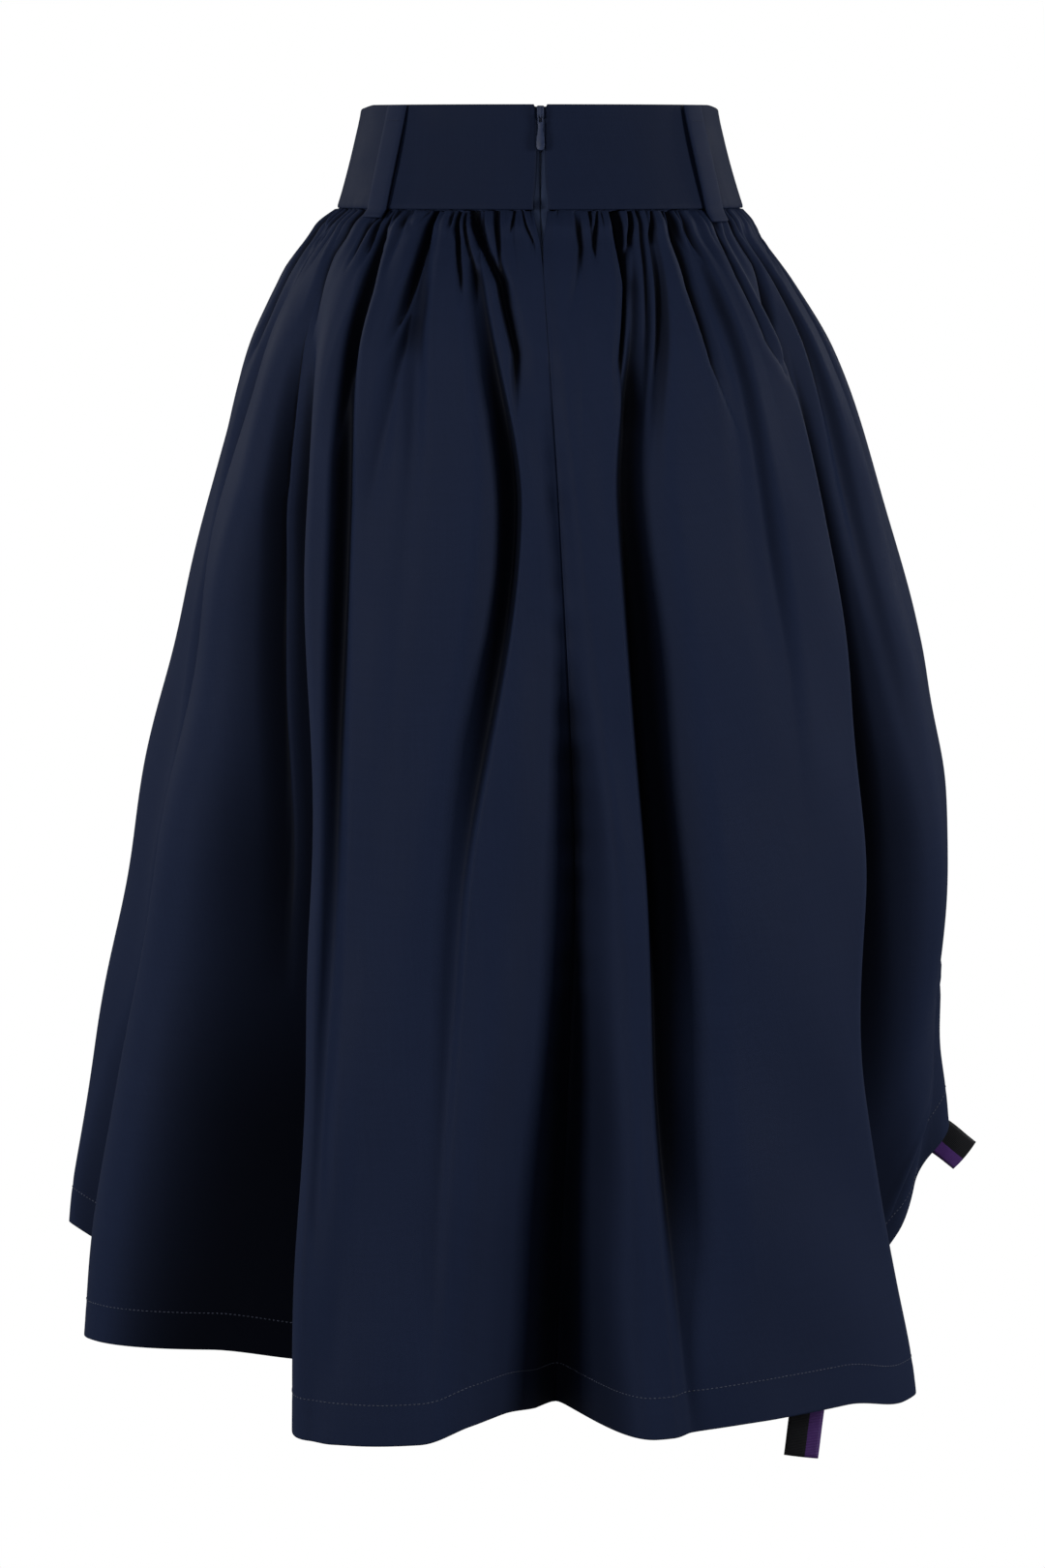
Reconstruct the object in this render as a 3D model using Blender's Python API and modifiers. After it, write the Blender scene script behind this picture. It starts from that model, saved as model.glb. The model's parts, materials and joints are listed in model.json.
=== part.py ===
"""Gathered midi skirt with a contoured waistband, a concealed back zip and a ruched drawstring side.

Metres, +Z up. The origin is the centre of the waistband's top edge. The wearer faces -Y, so the
zip is on the +Y side, and the wearer's left is +X. Angles run from centre back (0) round by the
wearer's left side (90), centre front (180) and right side (270). A drop is a distance below the
waistband's top edge.
"""

import math
from collections import namedtuple

import bmesh
import bpy
import numpy as np
from mathutils import Matrix

OBJECT_NAME = "drawstring_skirt"

Finish = namedtuple("Finish", "red green blue roughness metallic")
FINISHES = {
    "skirt_cloth": Finish(0.0095, 0.0135, 0.0290, 0.72, 0.0),
    "waistband_cloth": Finish(0.0095, 0.0135, 0.0290, 0.72, 0.0),
    "loop_cloth": Finish(0.0095, 0.0135, 0.0290, 0.72, 0.0),
    "zip_tape": Finish(0.0150, 0.0270, 0.0700, 0.80, 0.0),
    "zip_metal": Finish(0.0200, 0.0340, 0.0850, 0.30, 0.6),
    "ribbon_dark": Finish(0.0050, 0.0050, 0.0080, 0.65, 0.0),
}

# --- Driving sizes -------------------------------------------------------------------------------
CLOTH = 0.0012  # the skirt cloth's wall
BAND_CLOTH = 0.0020  # the waistband: two layers and an interlining
SEAM_GAP = 0.0003  # between pieces that are sewn together
BAND_DROP = 0.067  # the waistband's height
SKIRT_TOP = 0.0679  # clear of the waistband's foot, whose inner edge is the lower one
BAND_TOP_WIDTH, BAND_TOP_DEPTH = 0.2356, 0.188
BAND_FOOT_WIDTH, BAND_FOOT_DEPTH = 0.2690, 0.216
BAND_FLARE = 1.25  # over 1, the band's side is hollow: it flares more towards its foot
LEFT_SIDE_SEAM, RIGHT_SIDE_SEAM = 102.0, 258.0  # degrees round the waist seam
GATHER_PITCH = 0.0104  # from one gather to the next, round the waist seam
GATHER_SEED = 7  # for their unevenness
CREASE_RADIUS = 0.0035  # the rounding at the bottom of a fold

LOOP_WIDTH, LOOP_CLOTH = 0.018, 0.0018  # a belt loop: cloth folded double
LOOP_STANDOFF = 0.0022  # its gap from the waistband at its middle
LOOP_BOW = 4.2  # how much it bends with the waistband, over the square of the way to its edge
LOOPS = (("belt_loop_left", 51.0, 0.0720), ("belt_loop_right", -56.0, 0.0750))  # angle and length

RIBBON_WIDTH, RIBBON_CLOTH = 0.0250, 0.0010
KNOT_SIZE = (0.017, 0.014, 0.019)

TAPE_WIDTH, TAPE_CLOTH, TAPE_LENGTH = 0.0070, 0.0010, 0.230  # each half of the zip
PULL_THICKNESS = 0.0010
PULL_TILT = 12.0  # degrees: the waistband's slope, on which the pull tab lies
SLIDER_WIDTH, SLIDER_DEPTH, SLIDER_HEIGHT = 0.0046, 0.0030, 0.0080
SLIDER_RISE = 0.0028  # its middle, above the pivot
BRIDGE_WIDTH, BRIDGE_BAR, BRIDGE_HEIGHT = 0.0010, 0.0008, 0.0076
BRIDGE_RISE = 0.0020  # its middle, above the pivot
BRIDGE_ROOM = 0.0018  # between the slider's face and the bridge's bar
PIVOT_HEIGHT = -0.0072

Section = namedtuple("Section", "drop left right back front")
# The skirt's outline with no folds: its half-widths and half-depths, at drops down its length.
SECTIONS = (
    Section(0.067, 0.1335, 0.1330, 0.1070, 0.1070),
    Section(0.084, 0.1500, 0.1450, 0.1200, 0.1180),
    Section(0.115, 0.1700, 0.1685, 0.1390, 0.1320),
    Section(0.160, 0.1900, 0.1950, 0.1560, 0.1460),
    Section(0.250, 0.2130, 0.2275, 0.1720, 0.1640),
    Section(0.380, 0.2380, 0.2590, 0.1850, 0.1840),
    Section(0.500, 0.2600, 0.2770, 0.1940, 0.2040),
    Section(0.640, 0.2850, 0.2660, 0.2040, 0.2260),
    Section(0.770, 0.3080, 0.2670, 0.2110, 0.2440),
    Section(0.853, 0.3210, 0.2710, 0.2140, 0.2540),
)

HemPoint = namedtuple("HemPoint", "angle drop")
# The hem is level at the back, higher in front, and drawn up by the drawstring.
HEM = (
    HemPoint(0, 0.845),
    HemPoint(4, 0.840),
    HemPoint(8, 0.842),
    HemPoint(14, 0.852),
    HemPoint(22, 0.855),
    HemPoint(35, 0.854),
    HemPoint(48, 0.850),
    HemPoint(62, 0.838),
    HemPoint(85, 0.836),
    HemPoint(99, 0.838),
    HemPoint(105, 0.812),
    HemPoint(112, 0.780),
    HemPoint(124, 0.774),
    HemPoint(150, 0.771),
    HemPoint(180, 0.768),
    HemPoint(212, 0.748),
    HemPoint(242, 0.690),
    HemPoint(256, 0.694),
    HemPoint(260, 0.714),
    HemPoint(266, 0.764),
    HemPoint(276, 0.812),
    HemPoint(288, 0.848),
    HemPoint(298, 0.852),
    HemPoint(312, 0.843),
    HemPoint(328, 0.844),
    HemPoint(345, 0.849),
    HemPoint(360, 0.845),
)

ZipGap = namedtuple("ZipGap", "drop gap")
# The zip's opening gapes below its slider and closes into the centre-back seam.
ZIP_GAPS = (
    ZipGap(0.000, 0.0086),
    ZipGap(0.004, 0.0056),
    ZipGap(0.030, 0.0052),
    ZipGap(0.050, 0.0068),
    ZipGap(0.064, 0.0096),
    ZipGap(0.074, 0.0074),
    ZipGap(0.088, 0.0024),
    ZipGap(0.110, SEAM_GAP),
    ZipGap(0.900, SEAM_GAP),
)
ZIP_EASE = 0.030  # how far to each side the cloth gives way to the gap

# A fold line runs down the cloth: its angle at the seam, hip, knee and hem; its depth into the
# outline just under the seam and at hip, knee and hem (below 0 it stands out); and how wide it is
# on its lower-angle and higher-angle sides, at hip and hem. Depths and widths are in millimetres.
Fold = namedtuple(
    "Fold",
    "name seam hip knee hem top_in hip_in knee_in hem_in low_hip low_hem high_hip high_hem",
)
FOLD_LEVELS = (0.0, 0.24, 0.567, 1.0)  # shares of the way down: seam, hip, knee, hem
DEPTH_LEVELS = (0.083, 0.24, 0.567, 1.0)
FOLDS = (
    Fold("centre_back", 0, -3, -5, -3, 2, 8, 38, 92, 12, 60, 40, 85),
    Fold("back_slot", 17, 4.7, 11.8, 13.5, 6, 20, 8, 0, 7, 10, 25, 50),
    Fold("back_dimple", 28.5, 23, 24, 24, 8, 2, 0, 0, 14, 14, 16, 16),
    Fold("back_edge", 42.5, 37.5, 31, 28, 8, 14, 7, 0, 14, 14, 10, 10),
    Fold("left_deep", 58, 54, 46, 45, 8, 42, 95, 185, 36, 84, 50, 240),
    Fold("left_tuck", 76, 83, 88, 105, 6, 16, 42, 60, 20, 36, 18, 40),
    Fold("left_swell", 90, 98, 106, 113, 0, -9, -30, -56, 40, 45, 45, 90),
    Fold("front_left", 102, 110, 124, 138, 8, 22, 50, 75, 30, 60, 30, 80),
    Fold("front_small", 133, 135, 143, 158, 6, 16, 30, 45, 25, 50, 25, 55),
    Fold("front_middle", 158, 157, 165, 176, 8, 20, 40, 60, 30, 60, 26, 60),
    Fold("front_soft", 182, 182, 187, 194, 6, 14, 25, 38, 25, 50, 25, 50),
    Fold("front_right", 205, 205, 207, 212, 8, 22, 45, 55, 26, 50, 30, 60),
    Fold("ruched_line", 258, 252, 246, 242, 4, 10, 18, 6, 40, 50, 40, 50),
    Fold("side_flare", 266, 262, 260, 257, 0, 0, 3, -24, 25, 30, 25, 24),
    Fold("side_crease", 278, 283, 276, 266, 6, 3, 0, 0, 10, 10, 10, 10),
    Fold("side_tuck", 290, 293, 288, 271, 7, 4, 0, 0, 10, 10, 10, 10),
    Fold("right_deep", 302, 302, 302, 278, 10, 26, 62, 85, 60, 82, 18, 60),
    Fold("right_soft", 319, 320.6, 322, 322, 8, 7, 0, 0, 14, 14, 30, 30),
    Fold("right_short", 329, 341, 339, 335, 7, 0, 0, 0, 8, 8, 8, 8),
    Fold("right_slot", 335, 346, 343.8, 338.5, 8, 22, 34, 6, 35, 60, 9, 14),
)

# --- The drawstring's ruching --------------------------------------------------------------------
# It runs down the right side seam.
RUCHE_TOP = 0.46  # how far down the cloth it starts
RUCHES = 7
RUCHE_DEPTH, RUCHE_REACH = 0.0050, 0.035
SWAGS = 4  # the longer swags that the ruching throws out to each side
SWAG_DEPTH, SWAG_REACH, SWAG_RISE = 0.0060, 0.065, 1.6


# --- Rows and runs of the solids -----------------------------------------------------------------
SEAM_ROWS = (0.0, 0.010, 0.022, 0.045, 0.080, 0.130, 0.200, 0.290, 0.380)  # shares of the way down
BAND_ROWS = (0.0, 0.004, 0.016, 0.032, 0.050, 0.060, 0.067)  # drops
BAND_STEP = 6.4  # degrees
CASING_GAP = 0.0006  # the channel's gap from the panels, which bend more than it does
WIDEST_STEP = 0.027  # from one column of the back panels to the next

PullRow = namedtuple("PullRow", "half down")
# The pull tab from its top bar to its round foot: half-widths at distances below its pivot.
PULL_ROWS = (
    PullRow(0.0000, -0.0005),
    PullRow(0.0014, -0.0004),
    PullRow(0.0018, 0.0006),
    PullRow(0.0018, 0.0048),
    PullRow(0.0016, 0.0080),
    PullRow(0.0021, 0.0120),
    PullRow(0.0026, 0.0160),
    PullRow(0.0027, 0.0190),
    PullRow(0.0022, 0.0214),
    PullRow(0.0012, 0.0224),
    PullRow(0.0000, 0.0228),
)
# Its slot, likewise: the bridge's bar stands in it, whichever way the tab is turned.
PULL_SLOT = (
    PullRow(0.0000, 0.0005),
    PullRow(0.0009, 0.0005),
    PullRow(0.0009, 0.0044),
    PullRow(0.0000, 0.0044),
)

RibbonPoint = namedtuple("RibbonPoint", "x y z across_x across_y across_z")
# The drawstring's ends, from the knot outward, with the way each one's width lies.
RIBBONS = {
    "ribbon_loop": (
        RibbonPoint(-0.2338, -0.0978, -0.7052, 0.60, 0.10, -0.80),
        RibbonPoint(-0.2502, -0.0975, -0.7056, 0.60, 0.10, -0.79),
        RibbonPoint(-0.2745, -0.0985, -0.7100, 0.60, 0.05, -0.80),
        RibbonPoint(-0.2940, -0.1035, -0.7250, 0.62, 0.00, -0.78),
        RibbonPoint(-0.2995, -0.1110, -0.7305, 0.62, 0.00, -0.78),
        RibbonPoint(-0.2945, -0.1185, -0.7275, 0.62, -0.05, -0.78),
        RibbonPoint(-0.2755, -0.1220, -0.7150, 0.62, -0.05, -0.78),
        RibbonPoint(-0.2520, -0.1190, -0.7060, 0.62, -0.05, -0.78),
        RibbonPoint(-0.2347, -0.1145, -0.7012, 0.62, -0.05, -0.78),
    ),
    "ribbon_tail_long": (
        RibbonPoint(-0.2277, -0.1102, -0.7080, 0.97, -0.20, 0.00),
        RibbonPoint(-0.2282, -0.1250, -0.7450, 0.98, -0.20, 0.00),
        RibbonPoint(-0.2215, -0.1430, -0.8000, 0.98, -0.15, 0.10),
        RibbonPoint(-0.2080, -0.1550, -0.8600, 0.99, -0.05, 0.12),
        RibbonPoint(-0.1950, -0.1600, -0.9150, 1.00, 0.02, -0.02),
        RibbonPoint(-0.1890, -0.1600, -0.9620, 1.00, 0.04, -0.15),
    ),
    "ribbon_tail_short": (
        RibbonPoint(-0.2268, -0.1021, -0.7095, 0.95, 0.30, 0.00),
        RibbonPoint(-0.2312, -0.1000, -0.7520, 0.85, 0.50, 0.10),
        RibbonPoint(-0.2350, -0.1075, -0.8100, 0.85, 0.50, 0.10),
        RibbonPoint(-0.2470, -0.1180, -0.8650, 0.95, 0.30, -0.05),
        RibbonPoint(-0.2465, -0.1275, -0.9105, 0.95, 0.20, -0.20),
    ),
}
RIBBON_STEPS = {"ribbon_loop": 15, "ribbon_tail_long": 12, "ribbon_tail_short": 10}


def smooth_curve(at, xs, ys):
    """A smooth curve through the points that never overshoots them."""
    xs, ys, at = np.asarray(xs, float), np.asarray(ys, float), np.asarray(at, float)
    rates = np.diff(ys) / np.diff(xs)
    product, total = rates[:-1] * rates[1:], rates[:-1] + rates[1:]
    inner = np.where(product > 0, 2 * product / np.where(total == 0, 1, total), 0)
    slopes = np.concatenate([rates[:1], inner, rates[-1:]])
    i = np.clip(np.searchsorted(xs, at, side="right") - 1, 0, len(xs) - 2)
    step = xs[i + 1] - xs[i]
    s = np.clip((at - xs[i]) / step, 0.0, 1.0)
    rise = s * s * (3 - 2 * s)
    start = s * (1 - s) ** 2 * step
    end = s * s * (s - 1) * step
    return ys[i] * (1 - rise) + ys[i + 1] * rise + slopes[i] * start + slopes[i + 1] * end


def hem_drop(angle):
    """How far down the hem lies, at an angle round the hem."""
    turned = np.mod(angle, 360.0)
    return smooth_curve(turned, [h.angle for h in HEM], [h.drop for h in HEM])


def zip_gap(drop):
    """How far apart the two sides of the centre-back opening stand."""
    return smooth_curve(drop, [z.drop for z in ZIP_GAPS], [z.gap for z in ZIP_GAPS])


def outline(angle, drop):
    """The plan position of the unfolded cloth, and its unit normal there, pointing out."""
    drops = [s.drop for s in SECTIONS]
    half = {
        side: smooth_curve(drop, drops, [getattr(s, side) for s in SECTIONS])
        for side in ("left", "right", "back", "front")
    }
    across, along = np.sin(np.radians(angle)), np.cos(np.radians(angle))
    wide = np.where(across >= 0, half["left"], half["right"])
    deep = np.where(along >= 0, half["back"], half["front"])
    normal = np.stack([across / wide, along / deep], axis=-1)
    normal /= np.linalg.norm(normal, axis=-1, keepdims=True)
    return np.stack([wide * across, deep * along], axis=-1), normal


def gather_lines():
    """Places round the seam, in degrees, where a thread draws the cloth in: at each fold line and
    evenly between them, so that each fold grows out of a gather."""
    round_seam = math.pi * (BAND_FOOT_WIDTH + BAND_FOOT_DEPTH) / 2
    pitch = 360.0 * GATHER_PITCH / round_seam
    seams = [f.seam for f in FOLDS] + [360.0]
    lines = []
    for low, high in zip(seams[:-1], seams[1:]):
        count = max(1, round((high - low) / pitch))
        lines += [low + (high - low) * k / count for k in range(count)]
    return np.array(lines)


def gather_shape(turn, down):
    """How far the gathers draw the cloth in, in metres. Each is a short valley under the seam,
    with a round ridge beside it; about one in three is deeper, wider and longer."""
    lines = np.append(gather_lines(), 360.0)
    count = len(lines) - 1
    uneven = np.random.default_rng(GATHER_SEED)
    short_depth = uneven.uniform(0.0026, 0.0056, count)
    short_reach = uneven.uniform(0.020, 0.060, count)
    long_depth = uneven.uniform(0.0020, 0.0060, count) * (uneven.uniform(0, 1, count) < 0.38)
    long_reach = uneven.uniform(0.08, 0.30, count)
    place = np.interp(np.mod(turn, 360.0), lines, np.arange(count + 1))
    rise = 0.62 + 0.38 * np.clip(down / 0.030, 0, 1)
    nearer = np.round(place).astype(int) % count
    fade = np.clip(1 - down / short_reach[nearer], 0, 1) ** 1.3
    drawn = short_depth[nearer] * fade * (1 - np.abs(np.sin(np.pi * place)))
    for k in np.flatnonzero(long_depth):
        away = np.abs((place - k + count / 2) % count - count / 2) / 1.6
        fade = max(0.0, 1 - down / long_reach[k]) ** 1.4
        drawn = drawn + long_depth[k] * fade * (1 - np.sin(np.pi / 2 * np.clip(away, 0, 1)))
    return drawn * rise


def ruche_shape(aside, down):
    """How far the ruching throws the cloth out, at a distance to the side of its line."""
    share = (down - RUCHE_TOP) / (1 - RUCHE_TOP)
    start = np.clip(share / 0.08, 0, 1) * (share > 0)
    fine = 0.5 - 0.5 * np.cos(2 * np.pi * RUCHES * share)
    lifted = share + SWAG_RISE * np.abs(aside)
    swag = np.sin(2 * np.pi * SWAGS * lifted) * np.clip((lifted - 0.05) / 0.3, 0, 1)
    near = np.exp(-((aside / RUCHE_REACH) ** 2))
    wide = np.exp(-((aside / SWAG_REACH) ** 2)) * np.clip(1.3 - lifted, 0, 1)
    return RUCHE_DEPTH * fine * near * start + SWAG_DEPTH * swag * wide


def fold_shape(aside, low, high, inward):
    """A fold's cross-section: 1 on its line and 0 past its sides. A valley has a tight bottom, and
    a ridge is round."""
    side = np.where(aside < 0, low, high)
    reach = np.hypot(aside, CREASE_RADIUS) - CREASE_RADIUS
    s = np.clip(reach / (np.hypot(side, CREASE_RADIUS) - CREASE_RADIUS), 0, 1)
    ridge = np.cos(np.pi / 2 * np.clip(np.abs(aside) / side, 0, 1)) ** 2
    return np.where(inward >= 0, 1 - np.sin(np.pi / 2 * s), ridge)


def skirt_surface(turns, downs, gathered=True):
    """The cloth's outer face: a row for each share of the way down, and a column for each angle
    round the waist seam."""
    turns, downs = np.atleast_1d(turns).astype(float), np.atleast_1d(downs).astype(float)
    lines = [f.seam for f in FOLDS]
    fine = np.linspace(-90.0, 450.0, 1081)
    rows = []
    for down in downs:
        level = np.array([smooth_curve(down, FOLD_LEVELS, f[1:5]) for f in FOLDS])
        at_hem = np.array([f.hem for f in FOLDS])
        seam_lines = np.concatenate([np.array(lines) - 360, lines, np.array(lines) + 360])
        angles = np.interp(turns, seam_lines, np.concatenate([level - 360, level, level + 360]))
        hem_angles = np.interp(
            turns, seam_lines, np.concatenate([at_hem - 360, at_hem, at_hem + 360])
        )
        drop = SKIRT_TOP + (hem_drop(hem_angles) - SKIRT_TOP) * down
        place, normal = outline(angles, drop)
        typical = BAND_DROP + (0.80 - BAND_DROP) * down
        run, _ = outline(fine, np.full(len(fine), typical))
        along = np.concatenate(
            [[0], np.cumsum(np.linalg.norm(np.diff(run, axis=0), axis=1))]
        )
        here = np.interp(angles, fine, along)
        girth = np.interp(360.0, fine, along) - np.interp(0.0, fine, along)
        for fold, angle in zip(FOLDS, level):
            inward = smooth_curve(down, (0.0,) + DEPTH_LEVELS, (0.0,) + fold[5:9]) / 1000
            low, high = (
                np.interp(down, (0.0, 0.24, 1.0), (0.6 * hip, hip, hem)) / 1000
                for hip, hem in (fold[9:11], fold[11:13])
            )
            aside = here - np.interp(angle, fine, along)
            aside -= girth * np.round(aside / girth)
            share = fold_shape(aside, low, high, inward)
            _, out = outline(np.array(angle), np.array(typical))
            place = place - (inward * share)[:, None] * out[None, :]
        line = np.interp(RIGHT_SIDE_SEAM, seam_lines, np.concatenate([level - 360, level, level + 360]))
        aside = here - np.interp(line, fine, along)
        lift = ruche_shape(aside, down)
        if gathered:
            lift = lift - gather_shape(turns, down)
        place = place + lift[:, None] * normal
        aside = here - np.interp(level[0], fine, along)
        aside -= girth * np.round(aside / girth)
        near = np.clip(1 - np.abs(aside) / ZIP_EASE, 0, 1) ** 2
        place[:, 0] += np.where(turns < 180, 0.5, -0.5) * zip_gap(drop) * near
        rows.append(np.column_stack([place, -drop]))
    return np.array(rows)


def wall_normals(grid):
    """The outward direction at each point of a grid but those of its first and last columns, as
    long as it takes for walls that meet at an angle to keep their thickness."""
    across, down = np.diff(grid, axis=1), np.diff(grid, axis=0)
    across, down = across[:-1] + across[1:], down[:, :-1] + down[:, 1:]
    facets = np.cross(across, down)
    facets /= np.linalg.norm(facets, axis=-1, keepdims=True)
    facets = np.concatenate([facets[:1], facets, facets[-1:]])
    around = [facets[:-1, :-1], facets[:-1, 1:], facets[1:, :-1], facets[1:, 1:]]
    normal = sum(around)
    normal /= np.linalg.norm(normal, axis=-1, keepdims=True)
    facing = sum(np.sum(normal * facet, axis=-1) for facet in around) / 4
    return normal / np.clip(facing, 0.6, 1.0)[..., None]


# --- Pieces --------------------------------------------------------------------------------------
def make_material(name):
    """A Principled material with the piece's own colour and finish."""
    finish = FINISHES[name]
    material = bpy.data.materials.new(name)
    material.use_nodes = True
    shader = material.node_tree.nodes["Principled BSDF"]
    shader.inputs["Base Color"].default_value = (finish.red, finish.green, finish.blue, 1.0)
    shader.inputs["Roughness"].default_value = finish.roughness
    shader.inputs["Metallic"].default_value = finish.metallic
    return material


def make_collection(name):
    collection = bpy.data.collections.new(name)
    bpy.context.scene.collection.children.link(collection)
    return collection


def add_object(name, data, finish, collection=None):
    piece = bpy.data.objects.new(name, data)
    if finish:
        data.materials.append(bpy.data.materials.get(finish) or make_material(finish))
    (collection or bpy.data.collections[OBJECT_NAME]).objects.link(piece)
    return piece


def add_cloth(name, grid, thickness, finish):
    """Cloth whose outer face is a grid of points in rows and columns, thickened inward."""
    rows, columns, _ = grid.shape
    at = np.arange(rows * columns).reshape(rows, columns)
    corner, below, beyond, beside = at[:-1, :-1], at[1:, :-1], at[1:, 1:], at[:-1, 1:]
    faces = np.stack([corner, beside, beyond], -1).reshape(-1, 3).tolist()
    faces += np.stack([corner, beyond, below], -1).reshape(-1, 3).tolist()
    mesh = bpy.data.meshes.new(name)
    mesh.from_pydata(grid.reshape(-1, 3).tolist(), [], faces)
    mesh.shade_smooth()
    piece = add_object(name, mesh, finish)
    wall = piece.modifiers.new("wall", "SOLIDIFY")
    wall.thickness, wall.offset, wall.use_even_offset = thickness, -1.0, True
    return piece


def add_block(name, size, centre, finish, collection=None):
    """A box of a size about a centre, with its scale in its mesh."""
    mesh = bpy.data.meshes.new(name)
    body = bmesh.new()
    bmesh.ops.create_cube(body, size=1.0)
    bmesh.ops.scale(body, vec=size, verts=body.verts)
    bmesh.ops.translate(body, vec=centre, verts=body.verts)
    body.to_mesh(mesh)
    body.free()
    return add_object(name, mesh, finish, collection)


def cut_or_join(piece, other, operation):
    """A Boolean on a piece, whose other object is kept out of sight."""
    other.hide_render, other.display_type = True, "WIRE"
    other.location, other.rotation_euler = piece.location, piece.rotation_euler
    step = piece.modifiers.new(other.name, "BOOLEAN")
    step.operation, step.solver, step.object = operation, "EXACT", other


def smooth_run(points, count):
    """A smooth run of evenly spaced points through a few. Whatever follows their x, y and z in
    each row is smoothed along with them."""
    points = np.array(points, float)
    steps = np.linalg.norm(np.diff(points[:, :3], axis=0), axis=1)
    far = np.concatenate([[0], np.cumsum(steps)])
    at = np.linspace(0, far[-1], count)
    slopes = np.gradient(points, far, axis=0)
    i = np.clip(np.searchsorted(far, at, side="right") - 1, 0, len(far) - 2)
    step = (far[i + 1] - far[i])[:, None]
    s = (at - far[i])[:, None] / step
    rise = s * s * (3 - 2 * s)
    bend = s * (1 - s) ** 2 * step * slopes[i] + s * s * (s - 1) * step * slopes[i + 1]
    return points[i] * (1 - rise) + points[i + 1] * rise + bend


def strip_grid(middle, across, width):
    """A flat band along a run of points, turned so that its width lies along each direction."""
    along = np.gradient(middle, axis=0)
    along /= np.linalg.norm(along, axis=1, keepdims=True)
    across = across - np.sum(across * along, axis=1, keepdims=True) * along
    across /= np.linalg.norm(across, axis=1, keepdims=True)
    return np.stack([middle - across * width / 2, middle + across * width / 2], 1)


# --- The skirt's panels --------------------------------------------------------------------------
def panel_turns(start, end):
    """A panel's columns: its gathers' valleys, the ridges between them, and more wherever the
    cloth below spreads wide, with one column past each end."""
    lines = np.append(gather_lines(), 360.0)
    lines = np.unique(np.concatenate([lines[(lines > start) & (lines < end)], [start, end]]))
    lines = np.sort(np.concatenate([lines, (lines[:-1] + lines[1:]) / 2]))
    low = skirt_surface(lines, np.array([0.55, 1.0]))
    spread = np.linalg.norm(np.diff(low, axis=1), axis=-1).max(0)
    wide = (spread > WIDEST_STEP) & (start == 0.0 or end == 360.0)
    lines = np.sort(np.concatenate([lines, ((lines[:-1] + lines[1:]) / 2)[wide]]))
    return np.concatenate([[2 * start - lines[1]], lines, [2 * end - lines[-2]]])


def panel_downs(ruched):
    """A panel's rows: close together under the seam, and two to each ruche."""
    if not ruched:
        return np.concatenate([SEAM_ROWS, np.linspace(0.48, 1.0, 6)])
    return np.concatenate([SEAM_ROWS, np.linspace(RUCHE_TOP, 1.0, 2 * RUCHES + 1)])


def panel_faces(start, end, ruched):
    """A panel's outer face and its outward normals, trimmed to the gap at its side seam."""
    grid = skirt_surface(panel_turns(start, end), panel_downs(ruched))
    outer, normals = grid[:, 1:-1].copy(), wall_normals(grid)
    for edge, inside, seam in ((0, 1, start), (-1, -2, end)):
        if seam not in (0.0, 360.0):
            step = outer[:, inside] - outer[:, edge]
            outer[:, edge] += step / np.linalg.norm(step, axis=1, keepdims=True) * SEAM_GAP / 2
    return outer, normals


def add_panel(name, start, end, ruched):
    outer, _ = panel_faces(start, end, ruched)
    add_cloth(name, outer, CLOTH, "skirt_cloth")


def add_casing(name):
    """The drawstring's channel: a strip inside the right side seam, over both panels' edges."""
    front, front_normals = panel_faces(LEFT_SIDE_SEAM, RIGHT_SIDE_SEAM, True)
    back, back_normals = panel_faces(RIGHT_SIDE_SEAM, 360.0, True)
    depth = CLOTH + CASING_GAP
    low, high = front - front_normals * depth, back - back_normals * depth
    seam = (low[:, -1] + high[:, 0]) / 2
    grid = np.stack([low[:, -3], low[:, -2], seam, high[:, 1], high[:, 2]], 1)
    add_cloth(name, grid[len(SEAM_ROWS) :], CLOTH, "skirt_cloth")


# --- The waistband, its loops and the zip --------------------------------------------------------
def band_face(angle, drop):
    """The waistband's outer face and its level outward normal."""
    angle, drop = np.asarray(angle, float), np.asarray(drop, float)
    share = np.clip(drop / BAND_DROP, 0, 1) ** BAND_FLARE
    wide = (BAND_TOP_WIDTH + (BAND_FOOT_WIDTH - BAND_TOP_WIDTH) * share) / 2
    deep = (BAND_TOP_DEPTH + (BAND_FOOT_DEPTH - BAND_TOP_DEPTH) * share) / 2
    across, along = np.sin(np.radians(angle)), np.cos(np.radians(angle))
    place = np.stack([wide * across, deep * along, -drop + 0 * angle], axis=-1)
    normal = np.stack([across / wide, along / deep, 0 * across], axis=-1)
    return place, normal / np.linalg.norm(normal, axis=-1, keepdims=True)


def add_band(name, start, end):
    """A piece of the waistband between two angles."""
    angles = np.linspace(start, end, max(2, round((end - start) / BAND_STEP)) + 1)
    grid, drops = np.meshgrid(angles, BAND_ROWS)
    outer, _ = band_face(grid, drops)
    for edge, side in ((0, 1), (-1, -1)):
        if (start, end)[edge] in (0.0, 360.0):
            outer[:, edge, 0] += side * zip_gap(np.array(BAND_ROWS)) / 2
        else:
            step = outer[:, edge + side] - outer[:, edge]
            outer[:, edge] += step / np.linalg.norm(step, axis=1, keepdims=True) * SEAM_GAP / 2
    add_cloth(name, outer, BAND_CLOTH, "waistband_cloth")


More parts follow.
